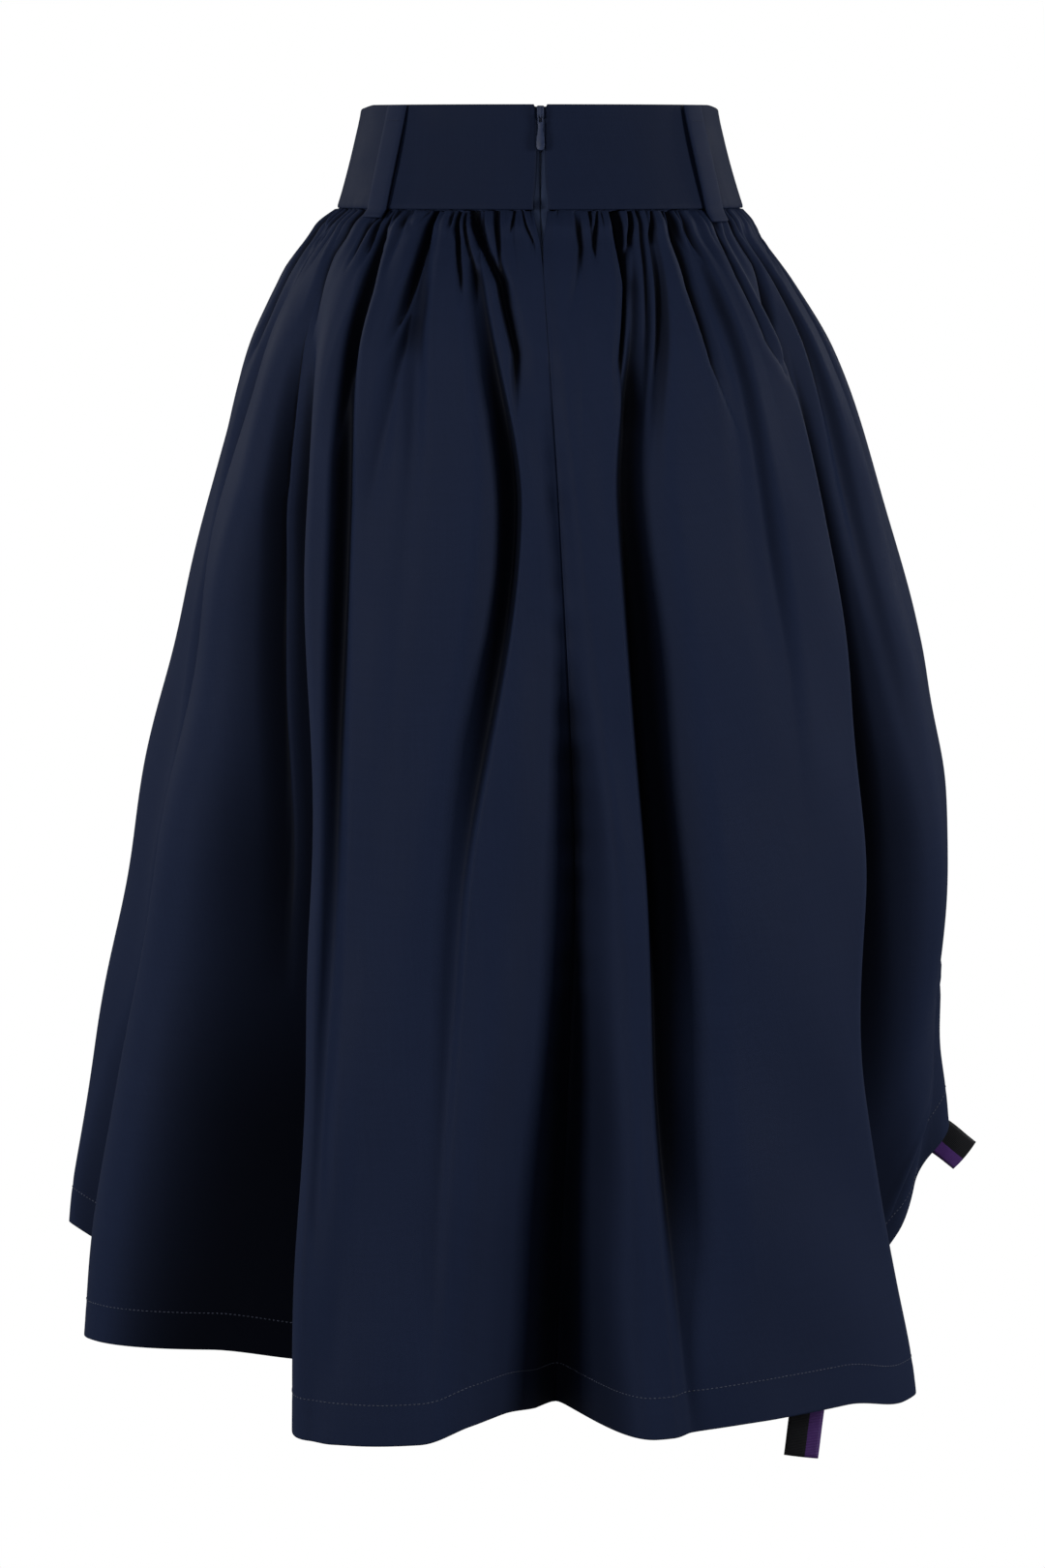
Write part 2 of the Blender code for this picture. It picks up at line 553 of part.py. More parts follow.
def add_loop(name, angle, length):
    """A belt loop: a strip up the waistband, standing off it between its two sewn ends."""
    drops = length * np.array([0, 0.05, 0.15, 0.32, 0.5, 0.68, 0.82, 0.92, 1.0])
    place, normal = band_face(np.full(len(drops), angle), drops)
    below, below_normal = outline(np.full(len(drops), angle), np.maximum(drops, BAND_DROP))
    hanging = drops > BAND_DROP
    place[hanging, :2] = (below + below_normal * 0.0012)[hanging]
    side = np.cross(normal, (0.0, 0.0, 1.0))
    arch = np.sin(np.pi * np.clip(drops / length, 0, 1)) ** 0.6
    middle = place + normal * (SEAM_GAP + LOOP_CLOTH + LOOP_STANDOFF * arch)[:, None]
    steps = (np.linspace(-1.0, 1.0, 5) * LOOP_WIDTH / 2)[None, :, None]
    bow = normal[:, None, :] * steps**2 * LOOP_BOW
    piece = add_cloth(name, middle[:, None] + side[:, None] * steps - bow, LOOP_CLOTH, "loop_cloth")
    fold = piece.modifiers.new("folded_edges", "BEVEL")
    fold.width, fold.segments, fold.limit_method = 0.0004, 1, "ANGLE"
    fold.angle_limit = math.radians(60)


def tape_line(drops):
    """Where the zip's tapes lie: just inside the deepest cloth beside the centre-back opening."""
    band, _ = band_face(np.zeros(len(drops)), drops)
    depth = band[:, 1] - BAND_CLOTH
    downs = np.clip((drops - BAND_DROP) / (hem_drop(0.0) - BAND_DROP), 0, 1)
    beside = np.linspace(0.0, 5.0, 11)
    cloth = skirt_surface(beside, downs)
    other = skirt_surface(360.0 - beside, downs)
    nearest = np.minimum(cloth[:, :, 1].min(1), other[:, :, 1].min(1)) - CLOTH * 1.8
    middle = (cloth[:, 0, 0] + other[:, 0, 0]) / 2
    near_seam = (drops > BAND_DROP - 0.006) & (drops <= BAND_DROP)
    depth = np.where(near_seam, np.minimum(depth, nearest), depth)
    depth = np.where(drops > BAND_DROP, nearest, depth)
    middle = np.where(drops > BAND_DROP, middle, 0.0)
    return middle, depth - 2 * SEAM_GAP


def add_tape(name, side):
    """Half of the zip's tape, behind the opening's edge."""
    drops = np.concatenate([np.linspace(0.0015, 0.11, 13), np.linspace(0.13, TAPE_LENGTH, 5)])
    middle, depth = tape_line(drops)
    edges = np.array([-TAPE_WIDTH, -SEAM_GAP / 2] if side < 0 else [SEAM_GAP / 2, TAPE_WIDTH])
    across = middle[:, None] + edges[None, :]
    deep, down = np.repeat(depth[:, None], 2, 1), np.repeat(-drops[:, None], 2, 1)
    add_cloth(name, np.stack([across, deep, down], -1), TAPE_CLOTH, "zip_tape")


def pull_pivot():
    """The middle of the pull tab's top bar, which turns inside the slider's bridge."""
    _, depth = tape_line(np.array([0.002, 0.012]))
    return np.array([0.0, depth[0] + 0.0018 + SLIDER_DEPTH + BRIDGE_ROOM / 2, PIVOT_HEIGHT])


def lie_on_band(piece):
    """Place a piece of the zip at the pull tab's pivot, leaning as the waistband does."""
    piece.location = pull_pivot()
    piece.rotation_euler = (math.radians(PULL_TILT), 0.0, 0.0)


def add_slider(name, cutters):
    """The slider: a block across the tapes, with a bridge that holds the pull tab."""
    face = -BRIDGE_ROOM / 2
    body = add_block(
        name,
        (SLIDER_WIDTH, SLIDER_DEPTH, SLIDER_HEIGHT),
        (0.0, face - SLIDER_DEPTH / 2, SLIDER_RISE),
        "zip_metal",
    )
    lie_on_band(body)
    soft = body.modifiers.new("soft_edges", "BEVEL")
    soft.width, soft.segments = 0.0006, 2
    reach = BRIDGE_ROOM + BRIDGE_BAR
    bridge = add_block(
        "slider_bridge",
        (BRIDGE_WIDTH, reach + 0.0005, BRIDGE_HEIGHT),
        (0.0, face + reach / 2 - 0.00025, BRIDGE_RISE),
        "zip_metal",
        cutters,
    )
    window = add_block(
        "bridge_window",
        (BRIDGE_WIDTH * 3, BRIDGE_ROOM, BRIDGE_HEIGHT - 2 * BRIDGE_BAR),
        (0.0, face + BRIDGE_ROOM / 2, BRIDGE_RISE),
        None,
        cutters,
    )
    cut_or_join(body, bridge, "UNION")
    cut_or_join(body, window, "DIFFERENCE")


def add_pull(name):
    """The zip's pull tab: a flat teardrop hanging from its pivot, with a slot for the bridge."""
    flat = bpy.data.curves.new(name, "CURVE")
    flat.dimensions, flat.fill_mode, flat.extrude = "2D", "BOTH", PULL_THICKNESS / 2
    outline_rows = [(row.half, row.down) for row in PULL_ROWS]
    for rows in (outline_rows, PULL_SLOT):
        loop = [(x, -down) for x, down in rows] + [(-x, -down) for x, down in rows[-2:0:-1]]
        spline = flat.splines.new("POLY")
        spline.points.add(len(loop) - 1)
        spline.use_cyclic_u = True
        for point, (x, y) in zip(spline.points, loop):
            point.co = (x, y, 0.0, 1.0)
    drawn = bpy.data.objects.new("pull_outline", flat)
    bpy.context.collection.objects.link(drawn)
    graph = bpy.context.evaluated_depsgraph_get()
    mesh = bpy.data.meshes.new_from_object(drawn.evaluated_get(graph))
    bpy.data.objects.remove(drawn)
    body = bmesh.new()
    body.from_mesh(mesh)
    bmesh.ops.remove_doubles(body, verts=body.verts, dist=0.00001)
    turn = Matrix.Rotation(math.radians(90), 4, "X")
    bmesh.ops.transform(body, matrix=turn, verts=body.verts)
    body.to_mesh(mesh)
    body.free()
    lie_on_band(add_object(name, mesh, "zip_metal"))


# --- The drawstring's ends -----------------------------------------------------------------------
def knot_centre():
    """The middle of the knot, which is drawn up against the mouth of the channel."""
    mouth = skirt_surface(np.array([RIGHT_SIDE_SEAM]), np.array([1.0]))[0, 0]
    return mouth + (0.0013, 0.0008, -KNOT_SIZE[2] / 2 - SEAM_GAP)


def add_knot(name):
    """The ribbon's knot: a rounded lump, as wide as the folds of ribbon in it."""
    mesh = bpy.data.meshes.new(name)
    body = bmesh.new()
    bmesh.ops.create_uvsphere(body, u_segments=12, v_segments=7, radius=1.0)
    for corner in body.verts:
        for axis in range(3):
            share = corner.co[axis]
            corner.co[axis] = math.copysign(abs(share) ** 0.8, share) * KNOT_SIZE[axis] / 2
    body.to_mesh(mesh)
    body.free()
    mesh.shade_smooth()
    add_object(name, mesh, "ribbon_dark").location = knot_centre()


def add_ribbon(name):
    """A run of the drawstring's ribbon outside its channel."""
    run = smooth_run(RIBBONS[name], RIBBON_STEPS[name])
    add_cloth(name, strip_grid(run[:, :3], run[:, 3:], RIBBON_WIDTH), RIBBON_CLOTH, "ribbon_dark")


def main():
    for leftover in list(bpy.data.objects):
        bpy.data.objects.remove(leftover)
    make_collection(OBJECT_NAME)
    cutters = make_collection("cutters")
    add_band("waistband_back_left", 0.0, LEFT_SIDE_SEAM)
    add_band("waistband_front", LEFT_SIDE_SEAM, RIGHT_SIDE_SEAM)
    add_band("waistband_back_right", RIGHT_SIDE_SEAM, 360.0)
    add_panel("skirt_back_left", 0.0, LEFT_SIDE_SEAM, False)
    add_panel("skirt_front", LEFT_SIDE_SEAM, RIGHT_SIDE_SEAM, True)
    add_panel("skirt_back_right", RIGHT_SIDE_SEAM, 360.0, True)
    add_casing("drawstring_casing")
    for name, angle, length in LOOPS:
        add_loop(name, angle, length)
    add_tape("zip_tape_left", 1)
    add_tape("zip_tape_right", -1)
    add_slider("zip_slider", cutters)
    add_pull("zip_pull")
    add_knot("ribbon_knot")
    for name in RIBBONS:
        add_ribbon(name)


if __name__ == "__main__":
    main()
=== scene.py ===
"""The looks of a gathered midi skirt with a contoured waistband and a ruched drawstring side.

Metres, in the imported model's frame: +Z up, the origin at the centre of the waistband's top edge.
The wearer faces -Y and the wearer's left is +X. Angles run from centre back (0) round by the
wearer's left side (90). A drop is a distance below the waistband's top edge, and a fall is a
distance below the waist seam.
"""

import json
import math
from collections import namedtuple

import bmesh
import bpy
import numpy as np
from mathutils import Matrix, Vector


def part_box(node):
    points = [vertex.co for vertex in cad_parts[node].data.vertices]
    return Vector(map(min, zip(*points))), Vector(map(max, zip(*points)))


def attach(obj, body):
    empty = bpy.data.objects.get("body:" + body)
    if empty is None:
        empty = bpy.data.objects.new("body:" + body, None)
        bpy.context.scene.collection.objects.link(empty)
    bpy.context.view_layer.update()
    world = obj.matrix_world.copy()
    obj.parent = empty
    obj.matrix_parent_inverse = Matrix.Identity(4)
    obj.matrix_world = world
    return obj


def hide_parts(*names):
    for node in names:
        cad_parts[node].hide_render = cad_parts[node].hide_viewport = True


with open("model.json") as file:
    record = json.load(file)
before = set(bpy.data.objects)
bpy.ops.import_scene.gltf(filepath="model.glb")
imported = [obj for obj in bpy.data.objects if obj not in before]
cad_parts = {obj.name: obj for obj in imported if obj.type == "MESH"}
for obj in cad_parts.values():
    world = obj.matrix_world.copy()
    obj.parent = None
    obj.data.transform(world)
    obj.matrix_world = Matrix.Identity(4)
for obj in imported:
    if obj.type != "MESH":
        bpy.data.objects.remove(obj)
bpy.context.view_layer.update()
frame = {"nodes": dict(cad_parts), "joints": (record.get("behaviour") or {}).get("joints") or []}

# --- Driving sizes -------------------------------------------------------------------------------
CLOTH = 0.0011  # the skirt cloth's wall
BAND_CLOTH = 0.0020
SEAM_GAP = 0.0003
BAND_DROP = 0.067  # the waistband's height
SKIRT_TOP = 0.0679  # the top of the skirt cloth, just under the waistband
BAND_TOP_WIDTH, BAND_TOP_DEPTH = 0.2356, 0.188
BAND_FOOT_WIDTH, BAND_FOOT_DEPTH = 0.2690, 0.216
BAND_FLARE = 1.25
SIDE_DIP = 0.0024  # how much lower the waistband's top edge is at the sides
LEFT_SIDE_SEAM, RIGHT_SIDE_SEAM = 102.0, 258.0
CREASE_RADIUS = 0.0035  # the rounding at the bottom of a fold
HEM_HEIGHT = 0.027  # the hem's turning, with a row of stitches at its top
HEM_TURNING = 0.0008  # how much thicker the cloth is there

GATHER_PITCH = 0.0104  # from one main gather to the next, round the waist seam
GATHER_SEED = 7
GATHER_SOFTNESS = 0.70  # how much shallower the cloth's main gathers are than the solids' ones
GATHER_STRAY = 1.2  # how many degrees a main gather may stand off its even place
MAIN_LEAN, FINE_LEAN = 22, 60  # how far gathers may lean, in degrees round to a metre down
LONG_SHARE = 0.34  # the share of the main gathers that run on down as long ones
FINE_COUNT = 150  # short creases between the main ones
GATHER_FADE = 1.3  # how fast a gather fades out as it runs down
TIGHT_SHARE, TIGHT_FALL = 0.62, 0.024  # how deep a gather is at the seam, and where it is full
PUFF = 0.0026  # how far the cloth puffs out between the gathers, just under the seam
PUFF_FALL = 0.007

Gathers = namedtuple("Gathers", "reach depth half_width")
# The least and the most of each size, in metres.
MAIN_GATHERS = Gathers((0.016, 0.060), (0.0018, 0.0052), (0.0042, 0.0080))
LONG_GATHERS = Gathers((0.070, 0.220), (0.0022, 0.0056), (0.0080, 0.0150))
FINE_GATHERS = Gathers((0.012, 0.042), (0.0020, 0.0046), (0.0020, 0.0034))

LOOP_WIDTH, LOOP_CLOTH = 0.018, 0.0018
LOOP_STANDOFF = 0.0022
LOOP_BOW = 4.2  # how much a loop bends with the waistband
LOOPS = (("belt_loop_left", 51.0, 0.0720), ("belt_loop_right", -56.0, 0.0750))

RIBBON_WIDTH, RIBBON_CLOTH = 0.0250, 0.0009
KNOT_SIZE = (0.017, 0.014, 0.019)

TAPE_WIDTH, TAPE_CLOTH, TAPE_LENGTH = 0.0070, 0.0009, 0.230
PULL_THICKNESS = 0.0010
PULL_TILT = 12.0

Section = namedtuple("Section", "drop left right back front")
# The skirt's outline with no folds: its half-widths and half-depths, at drops down its length.
SECTIONS = (
    Section(0.067, 0.1335, 0.1330, 0.1070, 0.1070),
    Section(0.084, 0.1500, 0.1450, 0.1200, 0.1180),
    Section(0.115, 0.1700, 0.1685, 0.1390, 0.1320),
    Section(0.160, 0.1900, 0.1950, 0.1560, 0.1460),
    Section(0.250, 0.2130, 0.2275, 0.1720, 0.1640),
    Section(0.380, 0.2380, 0.2590, 0.1850, 0.1840),
    Section(0.500, 0.2600, 0.2770, 0.1940, 0.2040),
    Section(0.640, 0.2850, 0.2660, 0.2040, 0.2260),
    Section(0.770, 0.3080, 0.2670, 0.2110, 0.2440),
    Section(0.853, 0.3210, 0.2710, 0.2140, 0.2540),
)

HemPoint = namedtuple("HemPoint", "angle drop")
# The hem is level at the back, higher in front, and drawn up by the drawstring.
HEM = (
    HemPoint(0, 0.845),
    HemPoint(4, 0.840),
    HemPoint(8, 0.842),
    HemPoint(14, 0.852),
    HemPoint(22, 0.855),
    HemPoint(35, 0.854),
    HemPoint(48, 0.850),
    HemPoint(62, 0.838),
    HemPoint(85, 0.836),
    HemPoint(99, 0.838),
    HemPoint(105, 0.812),
    HemPoint(112, 0.780),
    HemPoint(124, 0.774),
    HemPoint(150, 0.771),
    HemPoint(180, 0.768),
    HemPoint(212, 0.748),
    HemPoint(242, 0.690),
    HemPoint(256, 0.694),
    HemPoint(260, 0.714),
    HemPoint(266, 0.764),
    HemPoint(276, 0.812),
    HemPoint(288, 0.848),
    HemPoint(298, 0.852),
    HemPoint(312, 0.843),
    HemPoint(328, 0.844),
    HemPoint(345, 0.849),
    HemPoint(360, 0.845),
)

ZipGap = namedtuple("ZipGap", "drop gap")
# The zip's opening gapes below its slider and closes into the centre-back seam.
ZIP_GAPS = (
    ZipGap(0.000, 0.0086),
    ZipGap(0.004, 0.0056),
    ZipGap(0.030, 0.0052),
    ZipGap(0.050, 0.0068),
    ZipGap(0.064, 0.0096),
    ZipGap(0.074, 0.0074),
    ZipGap(0.088, 0.0024),
    ZipGap(0.110, SEAM_GAP),
    ZipGap(0.900, SEAM_GAP),
)
ZIP_EASE = 0.030  # how far to each side the cloth gives way to the gap

# A fold line runs down the cloth: its angle at the seam, hip, knee and hem; its depth into the
# outline just under the seam and at hip, knee and hem (below 0 it stands out); and how wide it is
# on its lower-angle and higher-angle sides, at hip and hem. Depths and widths are in millimetres.
Fold = namedtuple(
    "Fold",
    "name seam hip knee hem top_in hip_in knee_in hem_in low_hip low_hem high_hip high_hem",
)
FOLD_LEVELS = (0.0, 0.24, 0.567, 1.0)
DEPTH_LEVELS = (0.0, 0.083, 0.24, 0.567, 1.0)
WIDTH_LEVELS = (0.0, 0.24, 1.0)
SEAM_WIDTH = 0.6  # a fold's width at the waist seam, as a share of its width at the hip
FOLDS = (
    Fold("centre_back", 0, -3, -5, -3, 2, 8, 38, 92, 12, 60, 40, 85),
    Fold("back_slot", 17, 4.7, 11.8, 13.5, 6, 20, 8, 0, 7, 10, 25, 50),
    Fold("back_dimple", 28.5, 23, 24, 24, 8, 2, 0, 0, 14, 14, 16, 16),
    Fold("back_edge", 42.5, 37.5, 31, 28, 8, 14, 7, 0, 14, 14, 10, 10),
    Fold("left_deep", 58, 54, 46, 45, 8, 42, 95, 185, 36, 84, 50, 240),
    Fold("left_tuck", 76, 83, 88, 105, 6, 16, 42, 60, 20, 36, 18, 40),
    Fold("left_swell", 90, 98, 106, 113, 0, -9, -30, -56, 40, 45, 45, 90),
    Fold("front_left", 102, 110, 124, 138, 8, 22, 50, 75, 30, 60, 30, 80),
    Fold("front_small", 133, 135, 143, 158, 6, 16, 30, 45, 25, 50, 25, 55),
    Fold("front_middle", 158, 157, 165, 176, 8, 20, 40, 60, 30, 60, 26, 60),
    Fold("front_soft", 182, 182, 187, 194, 6, 14, 25, 38, 25, 50, 25, 50),
    Fold("front_right", 205, 205, 207, 212, 8, 22, 45, 55, 26, 50, 30, 60),
    Fold("ruched_line", 258, 252, 246, 242, 4, 10, 18, 6, 40, 50, 40, 50),
    Fold("side_flare", 266, 262, 260, 257, 0, 0, 3, -24, 25, 30, 25, 24),
    Fold("side_crease", 278, 283, 276, 266, 6, 3, 0, 0, 10, 10, 10, 10),
    Fold("side_tuck", 290, 293, 288, 271, 7, 4, 0, 0, 10, 10, 10, 10),
    Fold("right_deep", 302, 302, 302, 278, 10, 26, 62, 85, 60, 82, 18, 60),
    Fold("right_soft", 319, 320.6, 322, 322, 8, 7, 0, 0, 14, 14, 30, 30),
    Fold("right_short", 329, 341, 339, 335, 7, 0, 0, 0, 8, 8, 8, 8),
    Fold("right_slot", 335, 346, 343.8, 338.5, 8, 22, 34, 6, 35, 60, 9, 14),
)

# A crease is narrower than a fold, and only the cloth's surface has it. It runs through four
# places, in degrees round the waist seam, from the fall where it starts to the one where it ends.
# Its depth, and its widths on its lower-angle and higher-angle sides, are in millimetres: one side
# is often steep and the other soft.
Crease = namedtuple("Crease", "top third two_thirds foot start end depth low high")
CREASES = (
    Crease(3.9, 3.2, 2.0, 1.2, 0, 0.028, 4.5, 2.2, 3.0),
    Crease(6.5, 7.4, 8.0, 8.3, 0, 0.020, 3.0, 2.0, 2.0),
    Crease(11.7, 11.3, 11.0, 10.5, 0, 0.060, 4.9, 6.8, 3.4),
    Crease(15.7, 15.4, 15.2, 15.0, 0, 0.030, 3.5, 3.2, 3.2),
    Crease(19.5, 12.0, 10.2, 13.0, 0, 0.135, 12.6, 13.5, 3.2),
    Crease(21.0, 19.2, 17.6, 18.0, 0, 0.060, 4.2, 3.2, 4.1),
    Crease(22.5, 21.4, 20.7, 20.4, 0, 0.060, 7.7, 3.2, 4.1),
    Crease(25.0, 24.5, 24.0, 23.6, 0, 0.013, 3.1, 3.2, 3.2),
    Crease(29.7, 30.2, 32.0, 35.5, 0, 0.095, 9.1, 3.5, 8.1),
    Crease(30.0, 31.5, 34.5, 37.0, 0.030, 0.200, 8.5, 18.9, 16.2),
    Crease(32.0, 33.0, 34.0, 34.4, 0, 0.014, 2.8, 3.2, 3.2),
    Crease(38.0, 37.0, 35.6, 34.5, 0, 0.014, 2.8, 3.2, 3.2),
    Crease(39.6, 39.2, 38.8, 38.5, 0, 0.012, 2.8, 3.2, 3.2),
    Crease(42.5, 42.8, 43.2, 43.4, 0, 0.012, 2.8, 3.2, 3.2),
    Crease(44.6, 41.2, 43.2, 44.3, 0, 0.155, 10.5, 3.5, 13.5),
    Crease(48.4, 47.3, 46.4, 46.0, 0, 0.038, 4.9, 3.2, 4.1),
    Crease(49.2, 50.6, 50.6, 50.5, 0, 0.038, 4.9, 3.2, 5.4),
    Crease(57.5, 60.2, 59.3, 58.7, 0, 0.085, 7.7, 4.1, 10.8),
    Crease(60.5, 61.5, 61.2, 60.8, 0.050, 0.520, 10.0, 3.2, 14.0),
    Crease(67.5, 67.8, 68.3, 68.6, 0, 0.042, 5.6, 4.1, 8.1),
    Crease(262.0, 271.0, 280.0, 286.0, 0, 0.045, 4.9, 4.1, 6.8),
    Crease(262.0, 270.0, 278.5, 284.0, 0.610, 0.755, 14.0, 18.0, 3.6),
    Crease(298.0, 298.8, 299.0, 296.5, 0.090, 0.640, 11.0, 14.0, 3.2),
    Crease(296.9, 296.4, 301.0, 308.5, 0, 0.110, 7.0, 8.1, 4.1),
    Crease(305.5, 309.2, 309.6, 304.0, 0, 0.125, 7.7, 10.8, 4.1),
    Crease(317.8, 318.0, 317.4, 317.0, 0, 0.036, 4.9, 5.4, 3.5),
    Crease(322.2, 323.7, 322.6, 320.0, 0, 0.145, 10.5, 12.2, 3.5),
    Crease(327.6, 328.2, 328.8, 329.0, 0, 0.022, 6.3, 3.2, 3.2),
    Crease(331.9, 332.2, 332.0, 331.2, 0, 0.125, 4.9, 8.1, 5.4),
    Crease(334.5, 334.8, 335.6, 338.0, 0, 0.032, 7.0, 3.5, 4.1),
    Crease(340.3, 338.2, 339.4, 335.5, 0, 0.140, 12.6, 13.5, 3.2),
    Crease(344.2, 345.0, 345.8, 346.0, 0, 0.034, 7.0, 3.4, 4.1),
    Crease(350.8, 349.7, 351.6, 354.0, 0, 0.068, 3.5, 7.0, 5.0),
)
FRONT_CREASES = 40  # more of them, from the wearer's left side round the front to the right side
FRONT_START, FRONT_SPREAD = 72, 188
FRONT_BEND = 2.2
FRONT_ENDS = (0.018, 0.035, 0.060, 0.110, 0.150)
CREASE_SEED = 12
CREASE_MARGIN = 0.02  # a crease is looked for this far past its ends
HIGH_START = 0.3  # from here down a crease's start and end are at typical falls
CREASE_OPENS = 0.010  # the fall at which a crease that starts at the seam has its full depth
CREASE_BEGINS = 0.3  # the share of its length over which one that starts lower down comes in
CREASE_FADE = 2.2
CREASE_WIDTHS = (0.65, 1.25)  # how wide it is at its start and end, as a share of its row's width
CREASE_LIP = 0.16  # how high the cloth rolls up beside its steep side, as a share of its depth
ONE_SIDED = 1.5  # how much its sides must differ for that

# The drawstring's ruching runs down the right side seam.
RUCHE_TOP = 0.46
RUCHES = 7
RUCHE_DEPTH, RUCHE_REACH = 0.0050, 0.035
RUCHE_BEGINS = 0.08
SWAGS = 4
SWAG_DEPTH, SWAG_REACH, SWAG_RISE = 0.0060, 0.065, 1.6
SWAG_START, SWAG_BEGINS, SWAG_END = 0.05, 0.3, 1.3
PUCKERS = 26  # fine ones, along the channel's stitches
PUCKER_DEPTH, PUCKER_REACH, PUCKER_SLANT = 0.0014, 0.012, 9

PullRow = namedtuple("PullRow", "half down")
# The pull tab from its top bar to its round foot: half-widths at distances below its pivot.
PULL_ROWS = (
    PullRow(0.0000, -0.0005),
    PullRow(0.0014, -0.0004),
    PullRow(0.0018, 0.0006),
    PullRow(0.0018, 0.0048),
    PullRow(0.0016, 0.0080),
    PullRow(0.0021, 0.0120),
    PullRow(0.0026, 0.0160),
    PullRow(0.0027, 0.0190),
    PullRow(0.0022, 0.0214),
    PullRow(0.0012, 0.0224),
    PullRow(0.0000, 0.0228),
)
PULL_SLOT = (
    PullRow(0.0000, 0.0005),
    PullRow(0.0009, 0.0005),
    PullRow(0.0009, 0.0044),
    PullRow(0.0000, 0.0044),
)

RibbonPoint = namedtuple("RibbonPoint", "x y z across_x across_y across_z")
# The drawstring's ends, from the knot outward, with the way each one's width lies.
RIBBONS = {
    "ribbon_loop": (
        RibbonPoint(-0.2338, -0.0978, -0.7052, 0.60, 0.10, -0.80),
        RibbonPoint(-0.2502, -0.0975, -0.7056, 0.60, 0.10, -0.79),
        RibbonPoint(-0.2745, -0.0985, -0.7100, 0.60, 0.05, -0.80),
        RibbonPoint(-0.2940, -0.1035, -0.7250, 0.62, 0.00, -0.78),
        RibbonPoint(-0.2995, -0.1110, -0.7305, 0.62, 0.00, -0.78),
        RibbonPoint(-0.2945, -0.1185, -0.7275, 0.62, -0.05, -0.78),
        RibbonPoint(-0.2755, -0.1220, -0.7150, 0.62, -0.05, -0.78),
        RibbonPoint(-0.2520, -0.1190, -0.7060, 0.62, -0.05, -0.78),
        RibbonPoint(-0.2347, -0.1145, -0.7012, 0.62, -0.05, -0.78),
    ),
    "ribbon_tail_long": (
        RibbonPoint(-0.2277, -0.1102, -0.7080, 0.97, -0.20, 0.00),
        RibbonPoint(-0.2282, -0.1250, -0.7450, 0.98, -0.20, 0.00),
        RibbonPoint(-0.2215, -0.1430, -0.8000, 0.98, -0.15, 0.10),
        RibbonPoint(-0.2080, -0.1550, -0.8600, 0.99, -0.05, 0.12),
        RibbonPoint(-0.1950, -0.1600, -0.9150, 1.00, 0.02, -0.02),
        RibbonPoint(-0.1890, -0.1600, -0.9620, 1.00, 0.04, -0.15),
    ),
    "ribbon_tail_short": (
        RibbonPoint(-0.2268, -0.1021, -0.7095, 0.95, 0.30, 0.00),
        RibbonPoint(-0.2312, -0.1000, -0.7520, 0.85, 0.50, 0.10),
        RibbonPoint(-0.2350, -0.1075, -0.8100, 0.85, 0.50, 0.10),
        RibbonPoint(-0.2470, -0.1180, -0.8650, 0.95, 0.30, -0.05),
        RibbonPoint(-0.2465, -0.1275, -0.9105, 0.95, 0.20, -0.20),
    ),
}
RIBBON_ROWS = {"ribbon_loop": 61, "ribbon_tail_long": 91, "ribbon_tail_short": 71}
RIBBON_COLUMNS = 11
RIBBON_CUP, RIBBON_WAVER = 0.0009, 0.0005  # how much a run of it is hollowed across, and sways
PURPLE_SIDE = {"ribbon_loop": 1, "ribbon_tail_long": 0, "ribbon_tail_short": 0}
KNOT_ROWS, KNOT_COLUMNS = 33, 48

RUMPLE_SEED = 21
RUMPLES = 14  # long shallow waves that cross the cloth
RUMPLE_HEIGHT, RUMPLE_BEGINS = 0.0007, 0.15
PUCKER_WAVES = ((0.027, 0.0, 1.0), (0.041, 1.3, 0.6))  # the centre seam's lengths, starts, shares
CENTRE_PUCKER, CENTRE_REACH = 0.0006, 0.010
CENTRE_START, CENTRE_BEGINS = 0.05, 0.05
TYPICAL_FALL = 0.78  # from the waist seam to the hem
TYPICAL_HEM = 0.80  # the drop of a typical hem, at which the folds' places are measured

LIP, SHORT_LIP = 0.008, 0.0012  # how deep a panel's edges turn in at its seams
LIP_SLANT = 12.0
LIP_SHARES = (0.12, 1.0)  # how far in each column of a turned-in edge lies
TOP_TURN = ((0.6, 0.0004), (1.0, 0.0035), (1.0, 0.0080))  # how far back and up its top's rows lie
TOP_BEHIND = 0.0019  # how far behind the waistband's foot that is
PANEL_COLUMNS = 290
COLUMN_CROWDING = ((0.015, 1.6), (0.06, 1.8), (1.0, 1.0))  # how much each level draws them close
PANEL_DOWNS = np.concatenate(
    [
        np.linspace(0, 0.035, 17, endpoint=False),
        np.linspace(0.035, 0.14, 27, endpoint=False),
        np.linspace(0.14, 0.992, 110),
        [0.996, 0.9985, 1.0],
    ]
)
STITCH_SINK, STITCH_SINK_REACH = 0.00035, 0.0022  # how the hem's stitches draw the cloth in
TURNING_EDGE = 0.004  # the height over which the hem's turning thins out
# The skirt's cloth has shade painted into its colour in the hollows between its folds, darker the
# more the folds' walls close in round it.
SIGHT, SIGHT_TURN = 26, 12.0  # how many columns away the hollows' walls are looked for
PAINTED_SHADE_REACH = 0.045  # how near a wall must be for shade to be painted into a hollow
PAINTED_SHADE_FROM, PAINTED_SHADE_TO = 0.25, 0.50  # how closed in the cloth is where the shade painted into its colour starts and ends
PAINTED_SHADE_STRENGTH = 0.90
THREAD_LIFT = 0.0001  # how far stitches stand off the cloth


# --- Camera --------------------------------------------------------------------------------------
CAMERA_PLACE, CAMERA_DIP = (0.01152, 3.2, -0.026), 7.585
FILM_WIDTH, LENS_LENGTH = 36.0, 110.16


